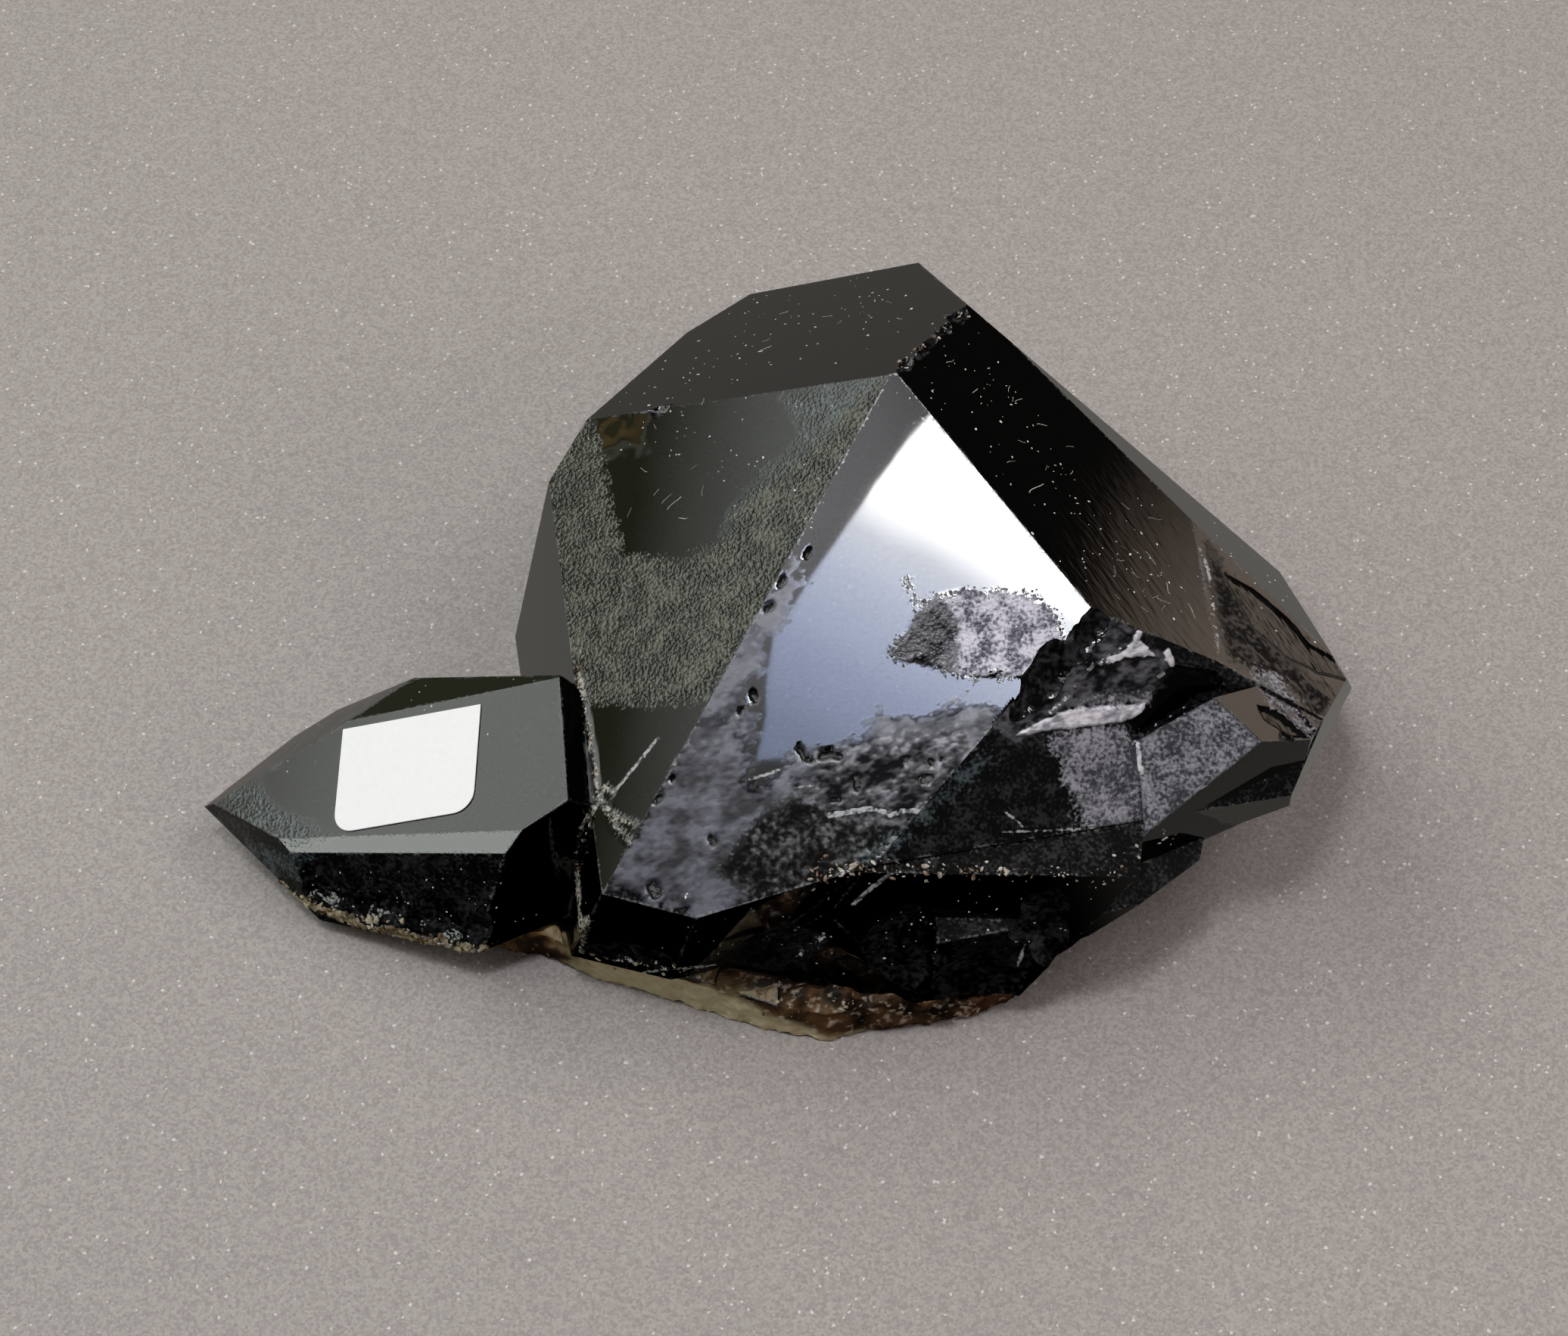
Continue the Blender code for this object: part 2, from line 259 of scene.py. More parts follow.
@dataclass(frozen=True)
class PhotoCamera:
    """The camera that took the photograph. Sizes of the picture are in its pixels."""

    target: tuple[float, float, float] = (LAYOUT_X, LAYOUT_Y, 15.0)
    elevation: float = 54.0
    distance: float = 280.0
    picture_width: int = 2072
    picture_height: int = 1766
    pixels_per_mm: float = 16.0
    sensor_width: float = 36.0
    nearest: float = 10.0
    farthest: float = 20000.0

    @property
    def back(self) -> Vector:
        """The direction from the target to the camera."""
        angle = math.radians(self.elevation)
        return Vector((0.0, -math.cos(angle), math.sin(angle)))

    @property
    def up(self) -> Vector:
        """The picture's upward direction."""
        angle = math.radians(self.elevation)
        return Vector((0.0, math.sin(angle), math.cos(angle)))

    @property
    def place(self) -> Vector:
        """Where the camera stands, in metres."""
        return (Vector(self.target) + self.back * self.distance) * MM

    @property
    def focal_pixels(self) -> float:
        """The focal length in pixels."""
        return self.pixels_per_mm * self.distance

    def build(self) -> Piece:
        """Add the camera and make it the scene's own.

        Returns:
            The camera object.
        """
        turn = (math.radians(90.0 - self.elevation), 0.0, 0.0)
        bpy.ops.object.camera_add(location=self.place, rotation=turn)
        camera = bpy.context.object
        camera.name = "photo_camera"
        camera.data.sensor_fit = "HORIZONTAL"
        camera.data.sensor_width = self.sensor_width
        camera.data.lens = self.focal_pixels * self.sensor_width / self.picture_width
        camera.data.clip_start = self.nearest * MM
        camera.data.clip_end = self.farthest * MM
        bpy.context.scene.camera = camera
        return camera

    def pixels(self, places: np.ndarray) -> np.ndarray:
        """Find where points show in the photograph.

        Args:
            places: points in metres, one row each.

        Returns:
            Their pixels, one row each.
        """
        seen = places - np.array(self.place)
        depth = -(seen @ np.array(self.back))
        across = self.picture_width / 2 + self.focal_pixels * seen[:, 0] / depth
        down = self.picture_height / 2 - self.focal_pixels * (seen @ np.array(self.up)) / depth
        return np.column_stack((across, down))

    def sight(self, pixel: tuple[float, float]) -> Vector:
        """The direction in which the camera sees a pixel, across and down."""
        across = (pixel[0] - self.picture_width / 2) / self.focal_pixels
        rise = (self.picture_height / 2 - pixel[1]) / self.focal_pixels
        return Vector((across, 0.0, 0.0)) + self.up * rise - self.back

    def on_face(self, pixel: tuple[float, float], face: Face) -> Vector:
        """Find the point of a face that a pixel shows.

        Args:
            pixel: the pixel across and down.
            face: the face to look at.

        Returns:
            The point, in metres.
        """
        ray = self.sight(pixel)
        normal = face.normal
        return self.place + ray * (normal.dot(face.centre - self.place) / normal.dot(ray))


PHOTO = PhotoCamera()

CRYSTALS: dict[str, dict[str, Face]] = {
    "main": {
        "broad_front": Face(250.5, 24.0, 25.7),
        "left": Face(195.0, 31.0, 24.2),
        "top": Face(123.0, 35.0, 33.2),
        "right_band": Face(10.0, 27.0, 36.8),
        "lower_front": Face(291.5, 45.0, 30.5),
        "right_end_top": Face(9.0, 31.0, 38.07),
        "right_sliver": Face(32.5, 52.0, 40.5),
        "right_back": Face(40.0, 57.5, 40.5),
        "right_corner": Face(22.0, 66.0, 45.0),
        "right_end": Face(333.5, 92.0, 41.7),
        "end_undercut": Face(330.0, 125.0, 27.2),
        "front_right_undercut": Face(296.0, 125.0, 16.2),
        "front_left_wall": Face(252.5, 94.0, 24.9),
        "front_wall": Face(284.0, 100.0, 19.6),
        "front_undercut": Face(268.0, 165.0, 1.8),
        "left_wall": Face(189.0, 77.5, 20.8),
        "back_left": Face(149.0, 83.0, 27.6),
        "back_corner": Face(135.0, 85.0, 32.7),
        "back": Face(80.0, 86.5, 41.2),
        "base": Face(0.0, 180.0, 0.0),
    },
    "side": {
        "label_face": Face(197.5, 25.5, 25.5),
        "right_strip": Face(358.0, 38.0, 4.2),
        "front_right": Face(289.0, 80.5, 11.8),
        "front": Face(247.5, 70.0, 28.3),
        "tip_front": Face(229.0, 80.0, 37.1),
        "bevel": Face(240.0, 55.0, 29.9),
        "back_left": Face(134.0, 50.0, 25.0),
        "back_top": Face(157.5, 25.0, 24.0),
        "back": Face(74.0, 85.0, -7.0),
        "back_undercut": Face(83.0, 135.0, -4.2),
        "root": Face(0.0, 90.0, -9.0),
        "root_undercut": Face(0.0, 170.5, -7.8),
        "tip_undercut": Face(180.0, 165.0, 8.5),
    },
    "stepped": {
        "speckled_top": Face(256.0, 46.5, 18.6),
        "front": Face(296.0, 90.0, 28.2),
        "right_end_top": Face(9.0, 31.0, 37.9),
        "right_sliver": Face(32.5, 52.0, 40.3),
        "right_corner": Face(22.0, 66.0, 44.8),
        "right_end": Face(333.5, 92.0, 41.6),
        "end_undercut": Face(330.0, 125.0, 27.0),
        "left": Face(194.0, 84.5, -21.5),
        "back_step": Face(117.0, 71.5, -15.2),
        "underside": Face(302.0, 152.0, 4.0),
    },
    "ledge": {
        "top": Face(311.5, 13.0, 23.7),
        "front": Face(275.5, 81.0, 26.1),
        "front_left": Face(258.0, 93.0, 21.8),
        "left": Face(195.0, 57.0, 10.5),
        "right": Face(358.0, 123.0, 15.1),
        "back": Face(90.0, 90.0, -14.0),
        "base": Face(0.0, 180.0, -3.0),
    },
    "root": {
        "top": Face(300.0, 20.0, 21.6),
        "front": Face(285.0, 95.0, 26.3),
        "right": Face(310.0, 118.0, 24.8),
        "end": Face(350.0, 100.0, 33.3),
        "left": Face(180.0, 90.0, -12.0),
        "back": Face(90.0, 90.0, -6.0),
        "base": Face(0.0, 180.0, -2.5),
    },
    "toe": {
        "top": Face(249.0, 20.0, 12.6),
        "front": Face(249.0, 90.0, 24.5),
        "left": Face(180.0, 90.0, 9.5),
        "right": Face(0.0, 90.0, -0.5),
        "back": Face(90.0, 90.0, -18.0),
        "base": Face(0.0, 180.0, -4.3),
    },
}
FACE_NAMES = [f"{crystal}/{name}" for crystal, faces in CRYSTALS.items() for name in faces]
FACES = {f"{crystal}/{name}": face for crystal, faces in CRYSTALS.items() for name, face in faces.items()}

BROAD_FRONT = ("main/broad_front",)
LEFT = ("main/left",)
RIGHT_BAND = ("main/right_band",)
LOWER_FRONT = ("main/lower_front",)
FRONT_FACES = (
    "main/front_left_wall",
    "main/front_wall",
    "ledge/front",
    "ledge/front_left",
    "root/front",
    "toe/front",
)
SIDE_WALL = ("side/front", "side/tip_front")
SIDE_FRONT = SIDE_WALL + ("side/front_right",)
RIGHT_END = ("main/right_end_top", "stepped/right_end_top")
RIGHT_SLIVERS = ("main/right_sliver", "stepped/right_sliver")


@dataclass(frozen=True)
class Flake:
    """A shell-shaped flake scar: its face, pixel, length, width, depth, and turn in degrees."""

    face: str
    pixel: tuple[float, float]
    length: float
    width: float
    depth: float
    turn: float

    def place(self) -> Vector:
        """The point of its face that its pixel shows, in metres."""
        return PHOTO.on_face(self.pixel, FACES[self.face])


@dataclass(frozen=True)
class HiddenFlake:
    """A flake scar on a side that the photograph doesn't show, by a point near it from the layout point."""

    face: str
    near: tuple[float, float, float]
    length: float
    width: float
    depth: float
    turn: float

    def place(self) -> Vector:
        """The point of its face nearest to the given one, in metres."""
        face = FACES[self.face]
        near = LAYOUT_POINT + Vector(self.near) * MM
        return near + face.normal * face.normal.dot(face.centre - near)


@dataclass(frozen=True)
class EdgeChip:
    """A chip out of the edge between two faces, by its pixel, with its length, width and depth."""

    first: str
    second: str
    pixel: tuple[float, float]
    length: float
    width: float
    depth: float


FLAKES = (
    Flake("main/lower_front", (1378, 892), 8.0, 3.6, 0.7, 35.0),
    Flake("main/lower_front", (1440, 836), 5.0, 2.6, 0.5, 60.0),
    Flake("ledge/front", (1180, 1265), 10.0, 7.0, 0.6, 60.0),
    Flake("ledge/front", (1380, 1225), 8.0, 5.0, 0.7, 100.0),
    Flake("ledge/front", (1290, 1300), 9.0, 6.0, 0.7, 20.0),
    Flake("main/front_left_wall", (835, 1262), 7.0, 4.0, 0.7, 20.0),
    Flake("main/front_wall", (1010, 1250), 9.0, 6.0, 0.7, 20.0),
    Flake("side/front", (425, 1170), 6.0, 4.0, 0.5, 30.0),
    Flake("side/front", (505, 1195), 6.0, 4.0, 0.6, 80.0),
    Flake("side/front", (588, 1215), 7.0, 4.5, 0.6, 20.0),
    Flake("side/front", (650, 1240), 6.0, 4.0, 0.6, 110.0),
)
HIDDEN_FLAKES = (
    HiddenFlake("main/back", (2.0, 41.0, 9.0), 12.0, 8.0, 0.9, 20.0),
    HiddenFlake("main/back", (14.0, 38.0, 14.0), 7.0, 4.0, 0.6, 70.0),
    HiddenFlake("main/back", (-6.0, 42.0, 16.0), 6.0, 3.5, 0.5, 130.0),
    HiddenFlake("main/back_left", (-16.0, 27.0, 6.0), 10.0, 7.0, 0.8, 60.0),
    HiddenFlake("main/back_corner", (-12.0, 33.0, 14.0), 5.0, 3.5, 0.5, 10.0),
    HiddenFlake("main/right_back", (33.0, 22.0, 12.0), 7.0, 4.5, 0.7, 40.0),
)
EDGE_CHIPS = (
    EdgeChip("main/top", "main/left", (872, 541), 2.4, 1.8, 0.5),
    EdgeChip("main/top", "main/right_band", (1196, 480), 3.0, 1.5, 0.5),
    EdgeChip("main/top", "main/right_band", (1222, 458), 3.6, 1.8, 0.6),
    EdgeChip("main/top", "main/right_band", (1246, 436), 3.0, 1.6, 0.5),
    EdgeChip("main/top", "main/right_band", (1268, 416), 3.4, 2.0, 0.6),
    EdgeChip("main/right_end_top", "stepped/front", (1700, 965), 4.5, 2.0, 0.8),
    EdgeChip("root/top", "root/right", (1530, 1150), 4.0, 3.0, 1.0),
    EdgeChip("root/front", "root/right", (1440, 1225), 5.0, 4.0, 1.4),
)


class Finish(Enum):
    """How a place on the crystals looks. The value names the mesh attribute with the depth inside it."""

    ETCHED = "etched_depth"
    FROSTED = "frosted_depth"
    VEILED = "veiled_depth"
    MOTTLED = "mottled_depth"
    SPECKLED = "speckled_depth"
    SMOKY = "smoky_depth"
    BROKEN = "broken_depth"
    SUTURE = "suture_depth"
    # thin light lines: scratches, and painted glints along edges
    SCRATCH_AND_GLINT = "scratch_and_glint_depth"
    PIT = "pit_depth"
    FLECKED = "flecked_depth"
    GRITTY = "gritty_depth"
    CLEAVED = "cleaved_depth"
    DULL = "dull_depth"
    STRIATED = "striated_depth"
    CRUSTED = "crusted_depth"
    STREAKED = "streaked_depth"
    # light lines along every crystal edge: partly real wear, partly a painted edge highlight
    WORN_AND_GLINT = "worn_and_glint_depth"


FULL_DEPTH = 3.0


@dataclass(frozen=True)
class Mark:
    """A finish on some faces, or bare glass where there is none. Raised is how far it stands off them."""

    finish: Finish | None
    faces: tuple[str, ...]

    def face_numbers(self) -> list[int]:
        """The places of its faces in FACE_NAMES."""
        return [FACE_NAMES.index(name) for name in self.faces]


@dataclass(frozen=True)
class Patch(Mark):
    """A mark inside an outline."""

    outline: Pixels
    raised: float = 0.0

    def depth(self, pixels: np.ndarray) -> np.ndarray:
        """Measure how deep inside the outline points are.

        Args:
            pixels: the points in the photograph, one row each.

        Returns:
            Their distances from the outline in millimetres, negative outside.
        """
        distance = distance_to_lines(pixels, self.outline + self.outline[:1])
        return np.where(inside_outline(pixels, self.outline), distance, -distance) / PHOTO.pixels_per_mm


@dataclass(frozen=True)
class Stroke(Mark):
    """A mark along a line or, with one point, a round one."""

    points: Pixels
    width: float
    raised: float = 0.0

    def depth(self, pixels: np.ndarray) -> np.ndarray:
        """How deep inside the stroke points are, in millimetres, negative outside."""
        return self.width / 2 - distance_to_lines(pixels, self.points) / PHOTO.pixels_per_mm


@dataclass(frozen=True)
class Coat(Mark):
    """A mark all over its faces."""

    raised: float = 0.0

    def depth(self, pixels: np.ndarray) -> np.ndarray:
        """The full depth at every point."""
        return np.full(len(pixels), FULL_DEPTH)


def distance_to_lines(pixels: np.ndarray, points: Pixels) -> np.ndarray:
    """Measure how far pixels are from a chain of lines.

    Args:
        pixels: the pixels, one row each.
        points: the chain's corners, or one point alone.

    Returns:
        The distances in pixels.
    """
    nearest = np.hypot(*(pixels - np.array(points[0])).T)
    for start, end in zip(points, points[1:]):
        first = np.array(start, dtype=float)
        along = np.array(end, dtype=float) - first
        share = np.clip((pixels - first) @ along / max(along @ along, SHORTEST_LINE), 0.0, 1.0)
        gap = pixels - first - share[:, None] * along
        nearest = np.minimum(nearest, np.hypot(gap[:, 0], gap[:, 1]))
    return nearest


def inside_outline(pixels: np.ndarray, outline: Pixels) -> np.ndarray:
    """Tell which pixels are inside a closed outline.

    Args:
        pixels: the pixels, one row each.
        outline: the outline's corners in order.

    Returns:
        True for each pixel inside.
    """
    inside = np.zeros(len(pixels), dtype=bool)
    for (ax, ay), (bx, by) in zip(outline, outline[1:] + outline[:1]):
        if ay == by:
            continue
        crosses = (ay > pixels[:, 1]) != (by > pixels[:, 1])
        where = ax + (pixels[:, 1] - ay) * (bx - ax) / (by - ay)
        inside ^= crosses & (pixels[:, 0] < where)
    return inside


ETCHED_ISLAND: Pixels = (
    (1178, 862), (1196, 846), (1214, 814), (1240, 788), (1270, 783), (1296, 788), (1326, 780),
    (1357, 788), (1380, 801), (1398, 822), (1403, 844), (1392, 868), (1381, 890), (1350, 893),
    (1326, 891), (1290, 891), (1262, 886), (1235, 873), (1200, 869),
)
MOTTLED_FOOT: Pixels = (
    (1345, 970), (1307, 936), (1250, 938), (1214, 952), (1166, 948), (1150, 975), (1120, 992),
    (1060, 1000), (1040, 1040), (985, 1030), (990, 985), (940, 925), (905, 960), (852, 1082), (795, 1180),
    (928, 1215), (1154, 1150),
)
LEFT_FROST: Pixels = (
    (715, 640), (745, 560), (778, 552), (795, 600), (805, 660), (824, 735), (900, 742), (955, 716),
    (985, 668), (1040, 625), (1100, 570), (1170, 500), (1180, 560), (1013, 820), (960, 905), (925, 926),
    (860, 932), (772, 930), (740, 830),
)
PALE_VEIL: Pixels = (
    (958, 712), (975, 670), (1020, 620), (1065, 575), (1110, 540), (1150, 505), (1170, 520), (1140, 570),
    (1085, 620), (1040, 665), (1000, 695),
)
TIP_VEIL: Pixels = (
    (290, 1078), (325, 1038), (350, 1060), (385, 1085), (430, 1108), (400, 1118), (330, 1112),
)
LEFT_UPPER_HAZE: Pixels = ((1040, 520), (1172, 494), (1180, 560), (1120, 600), (1060, 560))
TORN_CORNER: Pixels = (
    (1302, 955), (1390, 868), (1441, 806), (1478, 830), (1500, 846), (1470, 868), (1444, 880),
    (1424, 911), (1400, 933), (1342, 970),
)
GLOSSY_SHELL: Pixels = (
    (1418, 924), (1424, 911), (1452, 879), (1487, 870), (1517, 866), (1533, 874), (1540, 890),
    (1526, 908), (1478, 915), (1444, 920),
)
SHELL_RIM: Pixels = (
    (1456, 880), (1470, 868), (1487, 859), (1504, 845), (1514, 854), (1524, 865), (1513, 867),
    (1487, 869),
)
PALE_SHARD: Pixels = (
    (1342, 971), (1400, 941), (1435, 935), (1470, 932), (1513, 930), (1509, 942), (1483, 955),
    (1426, 960),
)
SHARD_SHADE: Pixels = ((1418, 936), (1452, 920), (1526, 910), (1520, 930), (1470, 932))
DEEP_RECESS: Pixels = (
    (1550, 880), (1608, 890), (1621, 917), (1582, 931), (1530, 965), (1500, 981), (1487, 957),
    (1509, 943), (1526, 910),
)
LOWER_SPECKLES: Pixels = (
    (1392, 975), (1440, 963), (1487, 958), (1514, 985), (1512, 1092), (1435, 1094), (1415, 1050),
)
DARK_BAND_ON_END: Pixels = (
    (1618, 760), (1655, 780), (1700, 818), (1728, 852), (1790, 886), (1780, 898), (1742, 888),
    (1700, 868), (1655, 828),
)
# A light line along the glassy band at the right end: a painted glint.
END_BAND_GLINT: Pixels = ((1792, 890), (1755, 972), (1712, 1055))
PALE_BREAK_ON_END: Pixels = (
    (1658, 886), (1690, 903), (1712, 935), (1738, 968), (1722, 975), (1700, 945), (1672, 915),
)
DARK_CHIP_ON_END: Pixels = ((1664, 934), (1684, 940), (1712, 960), (1728, 974), (1705, 972), (1672, 950))
LEDGE_FACET: Pixels = ((1265, 1228), (1370, 1222), (1357, 1256), (1337, 1305), (1270, 1300))
SIDE_GREY_PATCH: Pixels = ((498, 1126), (575, 1124), (570, 1145), (520, 1150))
SIDE_BLUE_PATCH: Pixels = ((330, 1122), (430, 1122), (430, 1150), (350, 1160))
SIDE_RIM: Pixels = ((334, 1157), (400, 1192), (470, 1219), (560, 1243), (640, 1258), (722, 1267))
MIDDLE_VEIL: Pixels = ((930, 765), (985, 715), (1040, 670), (1062, 695), (1005, 800), (945, 835))
LEFT_STRIP: Pixels = ((1055, 755), (1015, 835), (985, 905), (978, 985), (940, 925), (1010, 800))
FLECKED_FOOT: Pixels = (
    (1060, 1050), (1085, 1005), (1150, 990), (1225, 975), (1270, 968), (1275, 1015), (1210, 1085),
    (1130, 1075),
)
ISLAND_SHADE: Pixels = (
    (1182, 862), (1200, 846), (1216, 818), (1245, 800), (1262, 830), (1252, 878), (1205, 869),
)
DARK_FOOT: Pixels = (
    (1000, 1085), (1060, 1050), (1130, 1060), (1200, 1050), (1290, 1010), (1154, 1150), (1010, 1195),
    (950, 1150),
)
GRAINED_END: Pixels = (
    (1590, 700), (1625, 765), (1655, 805), (1700, 868), (1765, 922), (1742, 955), (1700, 905),
    (1625, 872), (1605, 800),
)
NICK_ABOVE_ISLAND: Pixels = ((1199, 768), (1203, 776))
NICK_BY_ISLAND: Pixels = ((1208, 790), (1213, 798))
SHELL_SPLINTER: Pixels = ((1543, 862), (1548, 877))
RIM_SPLINTER: Pixels = ((1500, 850), (1504, 838))
STEP_SPLINTER: Pixels = ((1501, 985), (1506, 1020))
# A light line along the edge at the foot of the broad front: a painted edge highlight.
FOOT_EDGE_HIGHLIGHT: Pixels = ((1152, 1138), (1205, 1088), (1270, 1031), (1304, 998))
CLEAR_STRIP: Pixels = ((1168, 540), (1060, 738), (955, 912))
UPPER_RIDGE_SCRATCH: Pixels = ((1584, 722), (1595, 749), (1599, 766))
LOWER_RIDGE_SCRATCH: Pixels = ((1608, 838), (1609, 862))
SMOKY_SPOT: Pixels = ((786, 552), (835, 545), (835, 575), (800, 590))
SMOKY_RIM: Pixels = ((300, 1035), (380, 960), (470, 905))

SUTURE_FACES = (
    "side/right_strip",
    "side/front_right",
    "main/left",
    "main/left_wall",
    "main/broad_front",
    "main/front_left_wall",
)
RIGHT_END_LINES: tuple[tuple[Pixels, float], ...] = (
    (((1642, 800), (1700, 858), (1764, 913)), 0.22),
    (((1655, 795), (1722, 852), (1786, 893)), 0.3),
    (((1672, 842), (1730, 893), (1768, 925)), 0.14),
    (((1690, 812), (1745, 858), (1794, 884)), 0.12),
    (((1660, 862), (1712, 905), (1748, 945)), 0.1),
    (((1716, 888), (1748, 915), (1772, 930)), 0.16),
)
PITS: tuple[tuple[Pixels, float], ...] = (
    (((862, 1172), (867, 1181)), 0.9),
    (((940, 1108), (943, 1112)), 0.55),
    (((995, 918), (997, 923)), 0.45),
    (((978, 941),), 0.3),
    (((1231, 1007),), 0.6),
    (((1218, 1030), (1228, 1028)), 0.7),
    (((1196, 1004),), 0.55),
    (((1131, 1026), (1133, 1042)), 0.55),
    (((1100, 1057), (1110, 1056)), 0.4),
    (((1056, 990), (1062, 1002), (1072, 1005)), 0.3),
    (((1085, 1000), (1098, 997), (1110, 1000)), 0.5),
    (((1012, 805), (1020, 800)), 0.4),
    (((1030, 772), (1036, 765)), 0.35),
    (((1065, 735), (1070, 728)), 0.3),
    (((890, 1005),), 0.3),
    (((888, 1030),), 0.3),
    (((868, 1058), (873, 1054)), 0.5),
    (((1200, 1083),), 0.3),
    (((1244, 1003),), 0.3),
)
SUTURES: tuple[tuple[Pixels, float], ...] = (
    (((764, 892), (774, 940), (784, 1000), (790, 1052)), 0.2),
    (((790, 1055), (803, 1072), (818, 1083), (838, 1090)), 0.28),
    (((795, 1062), (812, 1092), (832, 1112)), 0.2),
    (((787, 1064), (770, 1090), (762, 1130), (764, 1180), (768, 1235)), 0.2),
    (((776, 1215), (770, 1255)), 0.5),
    (((790, 1052), (800, 1040), (809, 1050)), 0.2),
)
# Thin light lines: scratches, and painted glints along edges, such as the lines on the front walls.
SCRATCHES_AND_GLINTS: tuple[tuple[tuple[str, ...], Pixels, float], ...] = (
    (LEFT, ((809, 1050), (835, 1018), (870, 975)), 0.2),
    (BROAD_FRONT, ((1095, 1078), (1125, 1073), (1150, 1069), (1168, 1073)), 0.32),
    (BROAD_FRONT, ((1175, 1079), (1192, 1072), (1212, 1072)), 0.32),
    (BROAD_FRONT, ((985, 1032), (1010, 1025), (1031, 1017)), 0.12),
    (BROAD_FRONT, ((1045, 1042), (1075, 1038)), 0.1),
    (LOWER_FRONT, ((1318, 1100), (1400, 1097), (1500, 1094)), 0.12),
    (LOWER_FRONT, ((1330, 1075), (1348, 1088), (1352, 1096)), 0.12),
    (FRONT_FACES, ((1357, 1240), (1346, 1275), (1333, 1308)), 0.16),
    (FRONT_FACES, ((850, 1285), (925, 1278), (1000, 1268)), 0.14),
    (FRONT_FACES, ((1128, 1195), (1150, 1175), (1180, 1152)), 0.3),
    (BROAD_FRONT, ((1262, 930), (1285, 905), (1297, 893)), 0.1),
)

AnyMark = Patch | Stroke | Coat
MARKS: tuple[AnyMark, ...] = (
    Patch(Finish.ETCHED, BROAD_FRONT, ETCHED_ISLAND, 0.02),
    Stroke(Finish.SPECKLED, BROAD_FRONT, NICK_ABOVE_ISLAND, 0.5),
    Stroke(Finish.SPECKLED, BROAD_FRONT, NICK_BY_ISLAND, 0.35),
    Patch(Finish.MOTTLED, BROAD_FRONT, MOTTLED_FOOT),
    Patch(Finish.MOTTLED, BROAD_FRONT, LEFT_STRIP),
    Patch(Finish.FLECKED, BROAD_FRONT, FLECKED_FOOT),
    Patch(Finish.DULL, BROAD_FRONT, DARK_FOOT),
    Patch(Finish.FLECKED, BROAD_FRONT, ISLAND_SHADE),
    Coat(Finish.GRITTY, ("stepped/speckled_top",)),
    Coat(Finish.SPECKLED, LOWER_FRONT),
    Coat(Finish.SPECKLED, ("root/top", "ledge/top")),
    Patch(Finish.GRITTY, LOWER_FRONT, LOWER_SPECKLES),
    Patch(None, LOWER_FRONT, DEEP_RECESS, -0.9),
    Patch(Finish.FLECKED, LOWER_FRONT, TORN_CORNER, -0.25),
    Patch(Finish.FLECKED, LOWER_FRONT, GLOSSY_SHELL, -0.45),
    Patch(Finish.CLEAVED, LOWER_FRONT, SHELL_RIM, 0.1),
    Patch(Finish.CLEAVED, LOWER_FRONT, PALE_SHARD, 0.3),
    Patch(Finish.GRITTY, LOWER_FRONT, SHARD_SHADE, 0.15),
    Stroke(Finish.CLEAVED, LOWER_FRONT, SHELL_SPLINTER, 0.5, 0.25),
    Stroke(Finish.CLEAVED, LOWER_FRONT, RIM_SPLINTER, 0.5, 0.25),
    Stroke(Finish.CLEAVED, ("stepped/left", "stepped/speckled_top"), STEP_SPLINTER, 0.5),
    # Painted edge highlight along the foot of the broad front, laid as a veil.
    Stroke(Finish.VEILED, BROAD_FRONT + LOWER_FRONT, FOOT_EDGE_HIGHLIGHT, 0.5),
    Patch(Finish.FROSTED, LEFT, LEFT_FROST),
    Stroke(None, LEFT, CLEAR_STRIP, 1.7),
    Stroke(Finish.SCRATCH_AND_GLINT, RIGHT_BAND + RIGHT_END, UPPER_RIDGE_SCRATCH, 0.12),
    Stroke(Finish.SCRATCH_AND_GLINT, RIGHT_BAND + RIGHT_END, LOWER_RIDGE_SCRATCH, 0.16),
    Patch(Finish.VEILED, LEFT, PALE_VEIL),
    Patch(Finish.VEILED, LEFT, MIDDLE_VEIL),
    Patch(Finish.VEILED, LEFT, LEFT_UPPER_HAZE),
    Patch(Finish.SMOKY, LEFT, SMOKY_SPOT),
    Patch(Finish.VEILED, ("side/label_face", "side/bevel"), TIP_VEIL),
    Coat(Finish.SPECKLED, SIDE_WALL),
    Stroke(Finish.CRUSTED, SIDE_FRONT, SIDE_RIM, 0.5, 0.1),
    Stroke(Finish.SMOKY, ("side/back_left", "side/label_face"), SMOKY_RIM, 1.4),
    Patch(Finish.DULL, ("side/front",), SIDE_GREY_PATCH),
    Patch(Finish.VEILED, SIDE_WALL, SIDE_BLUE_PATCH),
    Patch(Finish.DULL, FRONT_FACES, LEDGE_FACET),
    Coat(Finish.CRUSTED, ("toe/top", "toe/front")),
    Coat(Finish.STREAKED, RIGHT_BAND + RIGHT_END + RIGHT_SLIVERS),
    Patch(Finish.DULL, RIGHT_END, GRAINED_END),
    Patch(Finish.STRIATED, RIGHT_END, DARK_BAND_ON_END, -0.15),
    Patch(Finish.GRITTY, RIGHT_END, PALE_BREAK_ON_END, -0.1),
    Patch(Finish.STRIATED, RIGHT_END, DARK_CHIP_ON_END, -0.3),
    # Painted glint along the glassy band at the right end.
    Stroke(Finish.SCRATCH_AND_GLINT, RIGHT_SLIVERS, END_BAND_GLINT, 0.12),
    *(Stroke(Finish.STRIATED, RIGHT_END, line, width) for line, width in RIGHT_END_LINES),
    *(Stroke(Finish.SUTURE, SUTURE_FACES, line, width, 0.1) for line, width in SUTURES),
    # Scratches, and painted glints along edges.
    *(Stroke(Finish.SCRATCH_AND_GLINT, faces, line, width) for faces, line, width in SCRATCHES_AND_GLINTS),
    *(Stroke(Finish.PIT, BROAD_FRONT, line, width, -0.15) for line, width in PITS),
)


